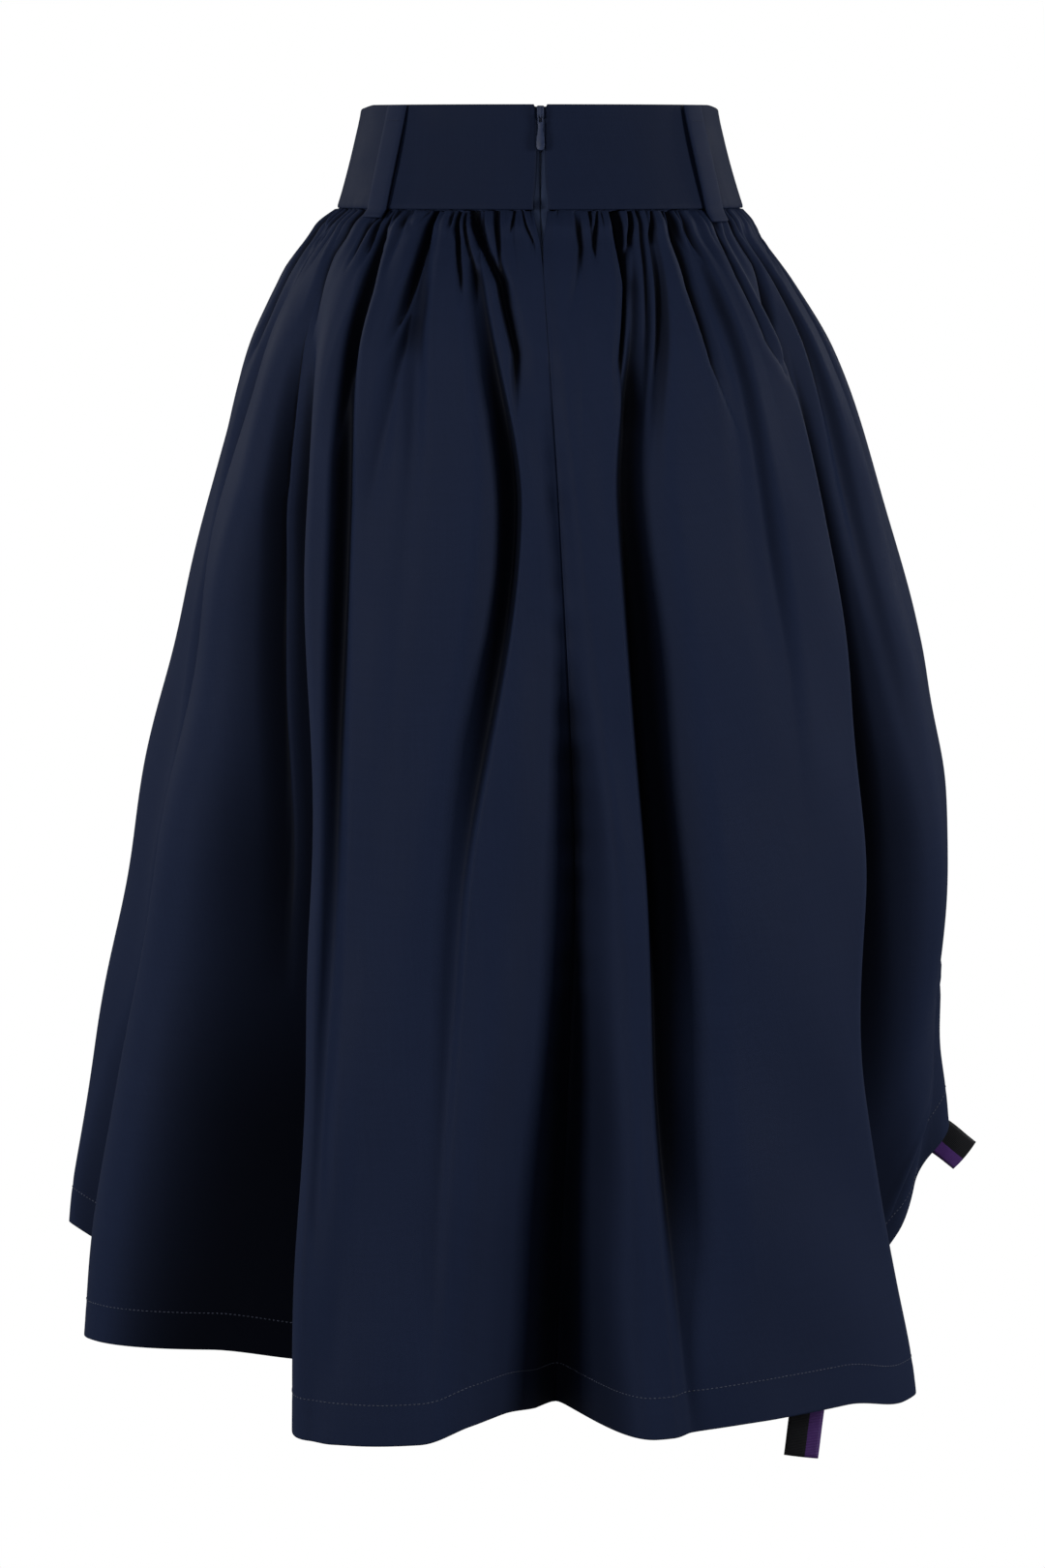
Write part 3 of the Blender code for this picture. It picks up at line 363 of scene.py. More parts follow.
def add_camera():
    """The photograph's view: square on to the back and a little from above, through a long lens."""
    lens = bpy.data.cameras.new("camera")
    lens.sensor_width, lens.lens = FILM_WIDTH, LENS_LENGTH
    camera = bpy.data.objects.new("camera", lens)
    camera.location = CAMERA_PLACE
    camera.rotation_euler = (math.radians(90.0 - CAMERA_DIP), 0.0, math.pi)
    bpy.context.scene.collection.objects.link(camera)
    bpy.context.scene.camera = camera


add_camera()


# --- The cloth's form ----------------------------------------------------------------------------
def smooth_curve(at, xs, ys):
    """A smooth curve through the points that never overshoots them."""
    xs, ys, at = np.asarray(xs, float), np.asarray(ys, float), np.asarray(at, float)
    rates = np.diff(ys) / np.diff(xs)
    product, total = rates[:-1] * rates[1:], rates[:-1] + rates[1:]
    inner = np.where(product > 0, 2 * product / np.where(total == 0, 1, total), 0)
    slopes = np.concatenate([rates[:1], inner, rates[-1:]])
    i = np.clip(np.searchsorted(xs, at, side="right") - 1, 0, len(xs) - 2)
    step = xs[i + 1] - xs[i]
    s = np.clip((at - xs[i]) / step, 0.0, 1.0)
    rise = s * s * (3 - 2 * s)
    start = s * (1 - s) ** 2 * step
    end = s * s * (s - 1) * step
    return ys[i] * (1 - rise) + ys[i + 1] * rise + slopes[i] * start + slopes[i + 1] * end


def ramp(value, start, run):
    """0 up to a start, 1 past a run from it, and straight between them."""
    return np.clip((value - start) / run, 0, 1)


def swell(away, reach):
    """1 at a line and fading softly to both of its sides."""
    return np.exp(-((away / reach) ** 2))


def valley(share):
    """A valley's cross-section with a tight bottom: 1 on its line and 0 at its side."""
    return 1 - np.sin(np.pi / 2 * share)


def hem_drop(angle):
    turned = np.mod(angle, 360.0)
    return smooth_curve(turned, [h.angle for h in HEM], [h.drop for h in HEM])


def zip_gap(drop):
    return smooth_curve(drop, [z.drop for z in ZIP_GAPS], [z.gap for z in ZIP_GAPS])


def outline(angle, drop):
    """The plan position of the unfolded cloth, and its unit normal there, pointing out."""
    drops = [s.drop for s in SECTIONS]
    half = {
        side: smooth_curve(drop, drops, [getattr(s, side) for s in SECTIONS])
        for side in ("left", "right", "back", "front")
    }
    across, along = np.sin(np.radians(angle)), np.cos(np.radians(angle))
    wide = np.where(across >= 0, half["left"], half["right"])
    deep = np.where(along >= 0, half["back"], half["front"])
    normal = np.stack([across / wide, along / deep], axis=-1)
    normal /= np.linalg.norm(normal, axis=-1, keepdims=True)
    return np.stack([wide * across, deep * along], axis=-1), normal


def seam_mm():
    """Millimetres round the waist seam to a degree."""
    return math.pi * (BAND_FOOT_WIDTH + BAND_FOOT_DEPTH) / 2 * 1000 / 360


def draw_sizes(uneven, count, kind, softness=1.0):
    """The reach, depth and half-width of a number of gathers of one kind."""
    return [
        uneven.uniform(*kind.reach, count),
        uneven.uniform(*kind.depth, count) * softness,
        uneven.uniform(*kind.half_width, count),
    ]


def make_gathers():
    """The creases that the gathering thread draws in: their places round the seam, how far they
    lean to the side as they run down, their reach, depth and half-width. The main ones stand where
    the solids have them, and fine short ones crowd in between."""
    seams = [f.seam for f in FOLDS] + [360.0]
    places = []
    for low, high in zip(seams[:-1], seams[1:]):
        count = max(1, round((high - low) * seam_mm() / (GATHER_PITCH * 1000)))
        places += [low + (high - low) * k / count for k in range(count)]
    uneven = np.random.default_rng(GATHER_SEED)
    count = len(places)
    on_fold = np.isin(np.round(places, 3), np.round(seams, 3))
    stray = uneven.uniform(-GATHER_STRAY, GATHER_STRAY, count)
    lean = uneven.uniform(-MAIN_LEAN, MAIN_LEAN, count)
    sizes = draw_sizes(uneven, count, MAIN_GATHERS, GATHER_SOFTNESS)
    main = np.column_stack([np.array(places) + np.where(on_fold, 0, stray), lean, *sizes])
    long = main[uneven.uniform(0, 1, count) < LONG_SHARE]
    long[:, 2:] = np.column_stack(draw_sizes(uneven, len(long), LONG_GATHERS, GATHER_SOFTNESS))
    turn = uneven.uniform(0, 360, FINE_COUNT)
    lean = uneven.uniform(-FINE_LEAN, FINE_LEAN, FINE_COUNT)
    fine = np.column_stack([turn, lean, *draw_sizes(uneven, FINE_COUNT, FINE_GATHERS)])
    return np.concatenate([main, long, fine])


GATHERS = make_gathers()


def gather_shape(turns, fall):
    """How far the gathers draw the cloth in, less how far it puffs out between them."""
    turn, lean, reach, depth, width = (column[:, None] for column in GATHERS.T)
    away = np.mod(turns[None, :] - turn - lean * fall[None, :] + 180, 360) - 180
    share = np.clip(np.abs(away) * seam_mm() / 1000 / width, 0, 1)
    fade = np.clip(1 - fall[None, :] / reach, 0, 1) ** GATHER_FADE
    drawn = (depth * fade * valley(share)).sum(0)
    full = TIGHT_SHARE + (1 - TIGHT_SHARE) * ramp(fall, 0, TIGHT_FALL)
    return drawn * full - PUFF * swell(fall - PUFF_FALL, PUFF_FALL)


def make_creases():
    """The table's creases, and others like them where the photograph doesn't look: the longer one
    is, the deeper it is and the softer one of its sides."""
    uneven = np.random.default_rng(CREASE_SEED)
    rows = [tuple(crease) for crease in CREASES]
    for k in range(FRONT_CREASES):
        top = FRONT_START + FRONT_SPREAD * (k + uneven.uniform(0.1, 0.9)) / FRONT_CREASES
        bends = np.cumsum(uneven.uniform(-FRONT_BEND, FRONT_BEND, 3))
        end = uneven.choice(FRONT_ENDS)
        deep = uneven.uniform(3.2, 6.2) + 30 * end
        steep, soft = uneven.uniform(3.2, 4.2), uneven.uniform(3.6, 5.6) + 60 * end
        sides = (steep, soft) if uneven.uniform() < 0.5 else (soft, steep)
        rows.append((top, *(top + bends), 0.0, end, deep, *sides))
    return np.array(rows)


CREASE_ROWS = make_creases()


def shorter_way(aside, girth):
    """Distances along a row, taken the shorter way round the skirt."""
    return aside - girth * np.round(aside / girth)


def crease_section(aside, low, high, share):
    """A crease's cross-section at a share of its length, with the cloth rolled up a little beside
    its steep side."""
    narrow, wide = CREASE_WIDTHS
    side = np.where(aside < 0, low, high) * (narrow + (wide - narrow) * share)
    steep = min(low, high)
    rolled = aside * (1 if high < low else -1)
    lip = swell(rolled - 2.0 * steep, 1.2 * steep) * (abs(high - low) > ONE_SIDED)
    return valley(np.clip(np.abs(aside) / side, 0, 1)) - CREASE_LIP * lip


def crease_shape(fall, level, place_of, here, girth):
    """How far the creases draw the cloth in along one row. The row lies at a typical fall, level;
    place_of gives the place along the row of a point on the waist seam."""
    starts, ends = CREASE_ROWS[:, 4], CREASE_ROWS[:, 5]
    live = CREASE_ROWS[(starts <= level + CREASE_MARGIN) & (ends > level - CREASE_MARGIN)]
    drawn = np.zeros(len(here))
    for *turns, start, end, deep, low, high in live:
        share = ramp(level if start > HIGH_START else fall, start, end - start)
        turn = np.interp((level - start) / (end - start), (0, 1 / 3, 2 / 3, 1), turns)
        aside = shorter_way(here - place_of(turn), girth) * 1000
        if start == 0:
            begun = 0.5 + 0.5 * ramp(fall, 0, CREASE_OPENS)
        else:
            begun = ramp(share, 0, CREASE_BEGINS)
        strength = deep / 1000 * begun * (1 - share**CREASE_FADE)
        drawn += strength * crease_section(aside, low, high, share)
    return drawn


def ruche_shape(aside, down):
    """How far the ruching throws the cloth out, at a distance to the side of its line."""
    share = (down - RUCHE_TOP) / (1 - RUCHE_TOP)
    begun = ramp(share, 0, RUCHE_BEGINS)
    ruche = 0.5 - 0.5 * np.cos(2 * np.pi * RUCHES * share)
    lifted = share + SWAG_RISE * np.abs(aside)
    swag = np.sin(2 * np.pi * SWAGS * lifted) * ramp(lifted, SWAG_START, SWAG_BEGINS)
    swag_fade = np.clip(SWAG_END - lifted, 0, 1)
    pucker = np.sin(2 * np.pi * PUCKERS * share + PUCKER_SLANT * np.abs(aside) / PUCKER_REACH)
    return (
        RUCHE_DEPTH * ruche * swell(aside, RUCHE_REACH) * begun
        + SWAG_DEPTH * swag * swell(aside, SWAG_REACH) * swag_fade
        + PUCKER_DEPTH * pucker * swell(aside, PUCKER_REACH) * begun
    )


def fold_shape(aside, low, high, inward):
    """A fold's cross-section: 1 on its line and 0 past its sides. A valley has a tight bottom, and
    a ridge is round."""
    side = np.where(aside < 0, low, high)
    if inward < 0:
        return np.cos(np.pi / 2 * np.clip(np.abs(aside) / side, 0, 1)) ** 2
    reach, whole = (np.hypot(far, CREASE_RADIUS) - CREASE_RADIUS for far in (aside, side))
    return valley(np.clip(reach / whole, 0, 1))


def make_rumples():
    """Waves that cross the cloth: how many go round, how many go down, their start and height."""
    uneven = np.random.default_rng(RUMPLE_SEED)
    around = uneven.integers(3, 22, RUMPLES)
    down = uneven.uniform(-5, 5, RUMPLES)
    start = uneven.uniform(0, 2 * np.pi, RUMPLES)
    height = uneven.uniform(0.4, 1.0, RUMPLES)
    return np.column_stack([around, down, start, height])


RUMPLE_WAVES = make_rumples()


def rumple_shape(turns, down):
    around, along, start, height = (column[:, None] for column in RUMPLE_WAVES.T)
    wave = np.sin(np.radians(turns)[None, :] * around + 2 * np.pi * along * down + start)
    return RUMPLE_HEIGHT * (height * wave).sum(0) * ramp(down, 0, RUMPLE_BEGINS)


def centre_pucker(aside, fall):
    """The centre-back seam's own slight puckering."""
    wave = sum(
        share * np.sin(2 * np.pi * fall / length + start) for length, start, share in PUCKER_WAVES
    )
    begun = ramp(fall, CENTRE_START, CENTRE_BEGINS)
    return CENTRE_PUCKER * wave * swell(aside, CENTRE_REACH) * begun


def every_turn(angles):
    """Angles, with the same ones a whole turn before and a whole turn after them."""
    angles = np.array(angles, float)
    return np.concatenate([angles - 360, angles, angles + 360])


SEAM_LINES = every_turn([fold.seam for fold in FOLDS])
HEM_LINES = every_turn([fold.hem for fold in FOLDS])
FINE_ANGLES = np.linspace(-90.0, 450.0, 1081)


def measure_row(down):
    """A row of the unfolded outline at a share of the way down: its typical drop, the distances
    along it at the fine angles, and its girth."""
    typical = BAND_DROP + (TYPICAL_HEM - BAND_DROP) * down
    run, _ = outline(FINE_ANGLES, np.full(len(FINE_ANGLES), typical))
    along = np.concatenate([[0], np.cumsum(np.linalg.norm(np.diff(run, axis=0), axis=1))])
    girth = np.interp(360.0, FINE_ANGLES, along) - np.interp(0.0, FINE_ANGLES, along)
    return typical, along, girth


def draw_folds_in(place, here, down, fold_angles, row):
    """The places of a row's points with every fold drawn in, one after another."""
    typical, along, girth = row
    for fold, angle in zip(FOLDS, fold_angles):
        inward = smooth_curve(down, DEPTH_LEVELS, (0.0,) + fold[5:9]) / 1000
        low, high = (
            np.interp(down, WIDTH_LEVELS, (SEAM_WIDTH * hip, hip, hem)) / 1000
            for hip, hem in (fold[9:11], fold[11:13])
        )
        aside = shorter_way(here - np.interp(angle, FINE_ANGLES, along), girth)
        share = fold_shape(aside, low, high, inward)
        _, out = outline(np.array(angle), np.array(typical))
        place = place - (inward * share)[:, None] * out[None, :]
    return place


def skirt_row(turns, down):
    """One row of the cloth's outer face, at a share of the way down."""
    fold_angles = np.array([smooth_curve(down, FOLD_LEVELS, fold[1:5]) for fold in FOLDS])
    lines = every_turn(fold_angles)
    angles = np.interp(turns, SEAM_LINES, lines)
    drop = SKIRT_TOP + (hem_drop(np.interp(turns, SEAM_LINES, HEM_LINES)) - SKIRT_TOP) * down
    fall = drop - SKIRT_TOP
    place, normal = outline(angles, drop)
    row = measure_row(down)
    _, along, girth = row
    here = np.interp(angles, FINE_ANGLES, along)
    place = draw_folds_in(place, here, down, fold_angles, row)

    def place_of(turn):
        return np.interp(np.interp(turn, SEAM_LINES, lines), FINE_ANGLES, along)

    from_centre = shorter_way(here - np.interp(fold_angles[0], FINE_ANGLES, along), girth)
    lift = ruche_shape(here - place_of(RIGHT_SIDE_SEAM), down)
    lift = lift - gather_shape(turns, fall) + rumple_shape(turns, down)
    lift = lift - crease_shape(fall, down * TYPICAL_FALL, place_of, here, girth)
    lift = lift + centre_pucker(from_centre, fall)
    place = place + lift[:, None] * normal
    near_zip = np.clip(1 - np.abs(from_centre) / ZIP_EASE, 0, 1) ** 2
    on_left = ((turns >= 0) & (turns < 180)) | (turns > 360)
    place[:, 0] += np.where(on_left, 0.5, -0.5) * zip_gap(drop) * near_zip
    return np.column_stack([place, -drop])


def skirt_surface(turns, downs):
    """The cloth's outer face: a row for each share of the way down, and a column for each angle
    round the waist seam."""
    turns = np.atleast_1d(turns).astype(float)
    return np.array([skirt_row(turns, down) for down in np.atleast_1d(downs).astype(float)])


def face_normals(grid):
    """The outward direction at each point of a grid."""
    across, down = np.gradient(grid, axis=1), np.gradient(grid, axis=0)
    normal = np.cross(across, down)
    return normal / np.maximum(np.linalg.norm(normal, axis=-1, keepdims=True), 1e-12)


def painted_shade_mask(grid, beside):
    """How far each point lies in a hollow between folds, which sets how much shade is painted into
    the cloth's colour there: 0 in the open and 1 where nothing but the folds' walls can be seen
    from it. The grid runs on past the piece by some columns, beside, on both of its sides, and the
    walls are looked for as many columns away."""
    columns = grid.shape[1] - 2 * beside
    own = grid[:, beside : beside + columns]
    away = own[..., :2] / np.linalg.norm(own[..., :2], axis=-1, keepdims=True)
    closed = np.zeros(own.shape[:2])
    for way in (-1, 1):
        highest = np.zeros(own.shape[:2])
        for step in range(1, beside + 1):
            first = beside + way * step
            toward = (grid[:, first : first + columns] - own)[..., :2]
            rise = (toward * away).sum(-1)
            far = np.abs(toward[..., 0] * away[..., 1] - toward[..., 1] * away[..., 0])
            near = np.clip(1 - (far / PAINTED_SHADE_REACH) ** 2, 0, 1)
            highest = np.maximum(highest, np.arctan2(rise, far + 1e-6) * near)
        closed += highest
    return closed / np.pi


def lengths(grid, axis):
    """The distance run along the rows or columns of a grid, from its first point."""
    steps = np.linalg.norm(np.diff(grid, axis=axis), axis=-1)
    start = np.zeros_like(np.take(steps, [0], axis=axis))
    return np.cumsum(np.concatenate([start, steps], axis=axis), axis=axis)


# --- Materials -----------------------------------------------------------------------------------
def new_group(name, inputs, outputs):
    """A shader node group with named inputs and outputs, and its two end nodes."""
    group = bpy.data.node_groups.new(name, "ShaderNodeTree")
    for label, kind, value in inputs:
        socket = group.interface.new_socket(label, in_out="INPUT", socket_type=kind)
        if value is not None:
            socket.default_value = value
    for label, kind in outputs:
        group.interface.new_socket(label, in_out="OUTPUT", socket_type=kind)
    return group, group.nodes.new("NodeGroupInput"), group.nodes.new("NodeGroupOutput")


def set_socket(tree, socket, value):
    """An input linked to another node's socket, or given a value."""
    if isinstance(value, bpy.types.NodeSocket):
        tree.links.new(value, socket)
    else:
        socket.default_value = value


def add_node(tree, kind, links=(), **settings):
    """A node with settings, and its inputs linked to other sockets or given values."""
    node = tree.nodes.new(kind)
    for name, value in settings.items():
        setattr(node, name, value)
    for key, value in dict(links).items():
        set_socket(tree, node.inputs[key], value)
    return node


def maths(tree, operation, first, second=0.0, third=0.0):
    links = {0: first, 1: second, 2: third}
    if operation in ("SINE", "ABSOLUTE"):
        links = {0: first}
    elif operation != "MULTIPLY_ADD":
        links = {0: first, 1: second}
    return add_node(tree, "ShaderNodeMath", links, operation=operation).outputs[0]


FLOAT, VECTOR = "NodeSocketFloat", "NodeSocketVector"


def make_weave_group():
    """Plain-woven threads, with thicker threads here and there."""
    group, start, end = new_group(
        "woven_threads",
        [("Place", VECTOR, None), ("Thread Pitch", FLOAT, 0.0006), ("Slub Length", FLOAT, 0.02)],
        [("Height", FLOAT), ("Slub", FLOAT)],
    )
    split = add_node(group, "ShaderNodeSeparateXYZ", {0: start.outputs["Place"]})
    turn = maths(group, "DIVIDE", math.pi, start.outputs["Thread Pitch"])
    waves = [
        maths(group, "SINE", maths(group, "MULTIPLY", split.outputs[axis], turn)) for axis in (0, 1)
    ]
    height = maths(group, "MULTIPLY_ADD", maths(group, "MULTIPLY", *waves), 0.5, 0.5)
    slubs = []
    for axis in (0, 1):
        sizes = [start.outputs["Thread Pitch"], start.outputs["Slub Length"]]
        stretched = add_node(
            group,
            "ShaderNodeCombineXYZ",
            {
                0: maths(group, "DIVIDE", split.outputs[axis], sizes[0]),
                1: maths(group, "DIVIDE", split.outputs[1 - axis], sizes[1]),
                2: 7.0 * axis,
            },
        )
        noise = add_node(
            group,
            "ShaderNodeTexNoise",
            {"Vector": stretched.outputs[0], "Scale": 0.45, "Detail": 2.0},
        )
        slubs.append(noise.outputs["Fac"])
    slub = maths(group, "MULTIPLY", maths(group, "ADD", *slubs), 0.5)
    group.links.new(height, end.inputs["Height"])
    group.links.new(slub, end.inputs["Slub"])
    return group


def make_patch_group():
    """Soft uneven patches, where the cloth has been handled and pressed."""
    group, start, end = new_group(
        "handled_patches",
        [("Place", VECTOR, None), ("Patch Size", FLOAT, 0.06), ("Contrast", FLOAT, 1.0)],
        [("Mask", FLOAT)],
    )
    scale = maths(group, "DIVIDE", 1.0, start.outputs["Patch Size"])
    noise = add_node(
        group,
        "ShaderNodeTexNoise",
        {"Vector": start.outputs["Place"], "Scale": scale, "Detail": 4.0, "Roughness": 0.6},
    )
    centred = maths(group, "SUBTRACT", noise.outputs["Fac"], 0.5)
    mask = maths(group, "MULTIPLY_ADD", centred, start.outputs["Contrast"], 0.5)
    clamped = add_node(group, "ShaderNodeClamp", {"Value": mask})
    group.links.new(clamped.outputs[0], end.inputs["Mask"])
    return group


def make_rib_group():
    """Ribs across a ribbon or a twill tape, from its width and length."""
    group, start, end = new_group(
        "woven_ribs",
        [
            ("Along", FLOAT, 0.0),
            ("Across", FLOAT, 0.0),
            ("Rib Pitch", FLOAT, 0.001),
            ("Slant", FLOAT, 0.0),
        ],
        [("Height", FLOAT)],
    )
    given = start.outputs
    slanted = maths(group, "MULTIPLY_ADD", given["Across"], given["Slant"], given["Along"])
    turn = maths(group, "DIVIDE", math.pi, given["Rib Pitch"])
    wave = maths(group, "SINE", maths(group, "MULTIPLY", slanted, turn))
    group.links.new(maths(group, "ABSOLUTE", wave), end.inputs["Height"])
    return group


WEAVE, PATCHES, RIBS = make_weave_group(), make_patch_group(), make_rib_group()


def new_material(name, roughness, specular=0.2, **constants):
    """A material, its tree and its Principled shader with its constant values."""
    material = bpy.data.materials.new(name)
    material.use_nodes = True
    shader = material.node_tree.nodes["Principled BSDF"]
    shader.inputs["Roughness"].default_value = roughness
    shader.inputs["Specular IOR Level"].default_value = specular
    for label, value in constants.items():
        shader.inputs[label.replace("_", " ").title()].default_value = value
    return material, material.node_tree, shader


def object_place(tree):
    return add_node(tree, "ShaderNodeTexCoord").outputs["Object"]


def cloth_place(tree):
    """The distances along and across the cloth, from its UV map."""
    return add_node(tree, "ShaderNodeUVMap", uv_map="cloth").outputs[0]


def use_group(tree, group, **inputs):
    node = tree.nodes.new("ShaderNodeGroup")
    node.node_tree = group
    for label, value in inputs.items():
        set_socket(tree, node.inputs[label.replace("_", " ").title()], value)
    return node


def mix_colours(tree, share, first, second):
    """A mix of two colours. The Mix node's colour sockets go by their numbers."""
    node = tree.nodes.new("ShaderNodeMix")
    node.data_type = "RGBA"
    for key, value in ((0, share), (6, first), (7, second)):
        set_socket(tree, node.inputs[key], value)
    return node.outputs[2]


def mix_by_patches(tree, patches, first, second):
    return mix_colours(tree, patches.outputs["Mask"], first + (1.0,), second + (1.0,))


def add_bump(tree, shader, *layers):
    """Bumps on the shader's normal, each with a height and a depth in metres."""
    last = None
    for height, depth in layers:
        links = {"Height": height, "Distance": depth, "Strength": 1.0}
        if last is not None:
            links["Normal"] = last
        last = add_node(tree, "ShaderNodeBump", links).outputs[0]
    tree.links.new(last, shader.inputs["Normal"])


NAVY_DARK, NAVY_LIGHT = (0.0074, 0.0121, 0.0315, 1.0), (0.0107, 0.0169, 0.0420, 1.0)
# The waistband's colours are a fifth darker than the skirt's: painted shade for the light falling
# off towards the waist.
BAND_SHADED_DARK, BAND_SHADED_LIGHT = (0.0059, 0.0099, 0.0260, 1.0), (0.0085, 0.0138, 0.0348, 1.0)
# Near black: the painted shade in the hollows between the skirt's folds.
PAINTED_SHADE_COLOUR = (0.0004, 0.0006, 0.0018, 1.0)
SHEEN_TINT = (0.25, 0.34, 0.62, 1.0)
PURPLE_START = 0.60  # the share of the ribbon's width that is black


def cloth_material(name, dark, light, thread=0.0006, patch=0.06, sheen=0.03):
    """The navy suiting: plain-woven, close and smooth, with a soft sheen, and with shade painted
    into its colour in the hollows between its folds."""
    material, tree, shader = new_material(
        name, 0.66, 0.06, sheen_weight=sheen, sheen_roughness=0.45, sheen_tint=SHEEN_TINT
    )
    weave = use_group(tree, WEAVE, place=cloth_place(tree), thread_pitch=thread, slub_length=0.03)
    patches = use_group(tree, PATCHES, place=object_place(tree), patch_size=patch, contrast=1.3)
    threads = mix_colours(tree, weave.outputs["Slub"], dark, light)
    shade = maths(tree, "MULTIPLY", patches.outputs["Mask"], 0.14)
    worn = mix_colours(tree, shade, threads, tuple(c * 1.5 for c in light[:3]) + (1.0,))
    # Painted shade: the colour darkens towards near black where the mask says the folds close in
    # round the cloth.
    painted_shade = add_node(tree, "ShaderNodeAttribute", attribute_name="painted_shade").outputs["Fac"]
    limits = {"From Min": PAINTED_SHADE_FROM, "From Max": PAINTED_SHADE_TO, "To Max": PAINTED_SHADE_STRENGTH}
    deep = add_node(
        tree,
        "ShaderNodeMapRange",
        {"Value": painted_shade, "To Min": 0.0, **limits},
        interpolation_type="SMOOTHSTEP",
    )
    shaded = mix_colours(tree, deep.outputs[0], worn, PAINTED_SHADE_COLOUR)
    tree.links.new(shaded, shader.inputs["Base Color"])
    rough = maths(tree, "MULTIPLY_ADD", patches.outputs["Mask"], 0.14, 0.58)
    tree.links.new(rough, shader.inputs["Roughness"])
    slubs, height = weave.outputs["Slub"], weave.outputs["Height"]
    add_bump(tree, shader, (slubs, 0.00006), (height, 0.00004))
    return material


def ribbon_material():
    """Grosgrain, three fifths black and two fifths purple, with ribs across it."""
    material, tree, shader = new_material("grosgrain", 0.5, specular=0.3)
    split = add_node(tree, "ShaderNodeSeparateXYZ", {0: cloth_place(tree)})
    along, across = split.outputs[0], split.outputs[1]
    ribs = use_group(tree, RIBS, along=along, across=across, rib_pitch=0.0011)
    patches = use_group(tree, PATCHES, place=object_place(tree), patch_size=0.01)
    on_purple = maths(tree, "GREATER_THAN", across, RIBBON_WIDTH * PURPLE_START)
    black = mix_by_patches(tree, patches, (0.0042, 0.0046, 0.0065), (0.0075, 0.0080, 0.0110))
    purple = mix_by_patches(tree, patches, (0.060, 0.018, 0.135), (0.100, 0.036, 0.215))
    tree.links.new(mix_colours(tree, on_purple, black, purple), shader.inputs["Base Color"])
    add_bump(tree, shader, (ribs.outputs["Height"], 0.00022))
    return material


def tape_material():
    """The zip's twill tape."""
    material, tree, shader = new_material("zip_twill_tape", 0.72, specular=0.2)
    cloth = cloth_place(tree)
    split = add_node(tree, "ShaderNodeSeparateXYZ", {0: cloth})
    along, across = split.outputs[1], split.outputs[0]
    ribs = use_group(tree, RIBS, along=along, across=across, rib_pitch=0.0009, slant=0.6)
    weave = use_group(tree, WEAVE, place=cloth, thread_pitch=0.0004, slub_length=0.01)
    threads = mix_colours(
        tree, weave.outputs["Slub"], (0.0150, 0.0250, 0.0600, 1), (0.0260, 0.0400, 0.0850, 1)
    )
    tree.links.new(threads, shader.inputs["Base Color"])
    add_bump(tree, shader, (ribs.outputs["Height"], 0.00012))
    return material


def thread_material(name, light):
    """Sewing thread, two plies twisted together."""
    material, tree, shader = new_material(name, 0.55, specular=0.3)
    place = object_place(tree)
    patches = use_group(tree, PATCHES, place=place, patch_size=0.004, contrast=1.6)
    colour = mix_by_patches(tree, patches, tuple(c * 0.6 for c in light), light)
    tree.links.new(colour, shader.inputs["Base Color"])
    weave = use_group(tree, WEAVE, place=place, thread_pitch=0.0003, slub_length=0.002)
    add_bump(tree, shader, (weave.outputs["Height"], 0.00005))
    return material


def enamel_material():
    """The slider's and pull tab's blue enamel over metal, rubbed thin in places."""
    material, tree, shader = new_material(
        "blue_enamel", 0.4, 0.25, coat_weight=0.06, coat_roughness=0.25
    )
    place = object_place(tree)
    patches = use_group(tree, PATCHES, place=place, patch_size=0.003, contrast=1.5)
    colour = mix_by_patches(tree, patches, (0.008, 0.015, 0.042), (0.020, 0.032, 0.078))
    tree.links.new(colour, shader.inputs["Base Color"])
    rough = maths(tree, "MULTIPLY_ADD", patches.outputs["Mask"], 0.2, 0.32)
    tree.links.new(rough, shader.inputs["Roughness"])
    return material


def coil_material():
    """The zip's nylon coil."""
    material, tree, shader = new_material("nylon_coil", 0.35, specular=0.4)
    place = object_place(tree)
    patches = use_group(tree, PATCHES, place=place, patch_size=0.002, contrast=1.2)
    colour = mix_by_patches(tree, patches, (0.012, 0.020, 0.050), (0.020, 0.032, 0.070))
    tree.links.new(colour, shader.inputs["Base Color"])
    return material


MATERIALS = {
    "skirt": cloth_material("navy_suiting", NAVY_DARK, NAVY_LIGHT),
    "band": cloth_material("interlined_suiting", BAND_SHADED_DARK, BAND_SHADED_LIGHT, patch=0.03),
    "loop": cloth_material("folded_suiting", NAVY_DARK, NAVY_LIGHT, patch=0.02),
    "ribbon": ribbon_material(),
    "tape": tape_material(),
    "stitch": thread_material("hem_thread", (0.070, 0.080, 0.120)),
    "tone_stitch": thread_material("matching_thread", (0.018, 0.024, 0.046)),
    "enamel": enamel_material(),
    "coil": coil_material(),
}


# --- Making pieces -------------------------------------------------------------------------------
def add_object(name, mesh, material):
    piece = bpy.data.objects.new(name, mesh)
    mesh.materials.append(MATERIALS[material])
    bpy.context.scene.collection.objects.link(piece)
    return piece


def grid_faces(rows, columns):
    """The four-sided faces between a grid's points. They face out where its rows run down and its
    columns run round by the wearer's left."""
    at = np.arange(rows * columns).reshape(rows, columns)
    corner, below, beyond, beside = at[:-1, :-1], at[1:, :-1], at[1:, 1:], at[:-1, 1:]
    return np.stack([corner, beside, beyond, below], -1).reshape(-1, 4)


def lay_flat(mesh, flat, faces):
    """The mesh's UV map, named cloth, from each point's place on the flat cloth in metres."""
    layer = mesh.uv_layers.new(name="cloth")
    layer.data.foreach_set("uv", flat.reshape(-1, 2)[faces].astype(np.float32).ravel())


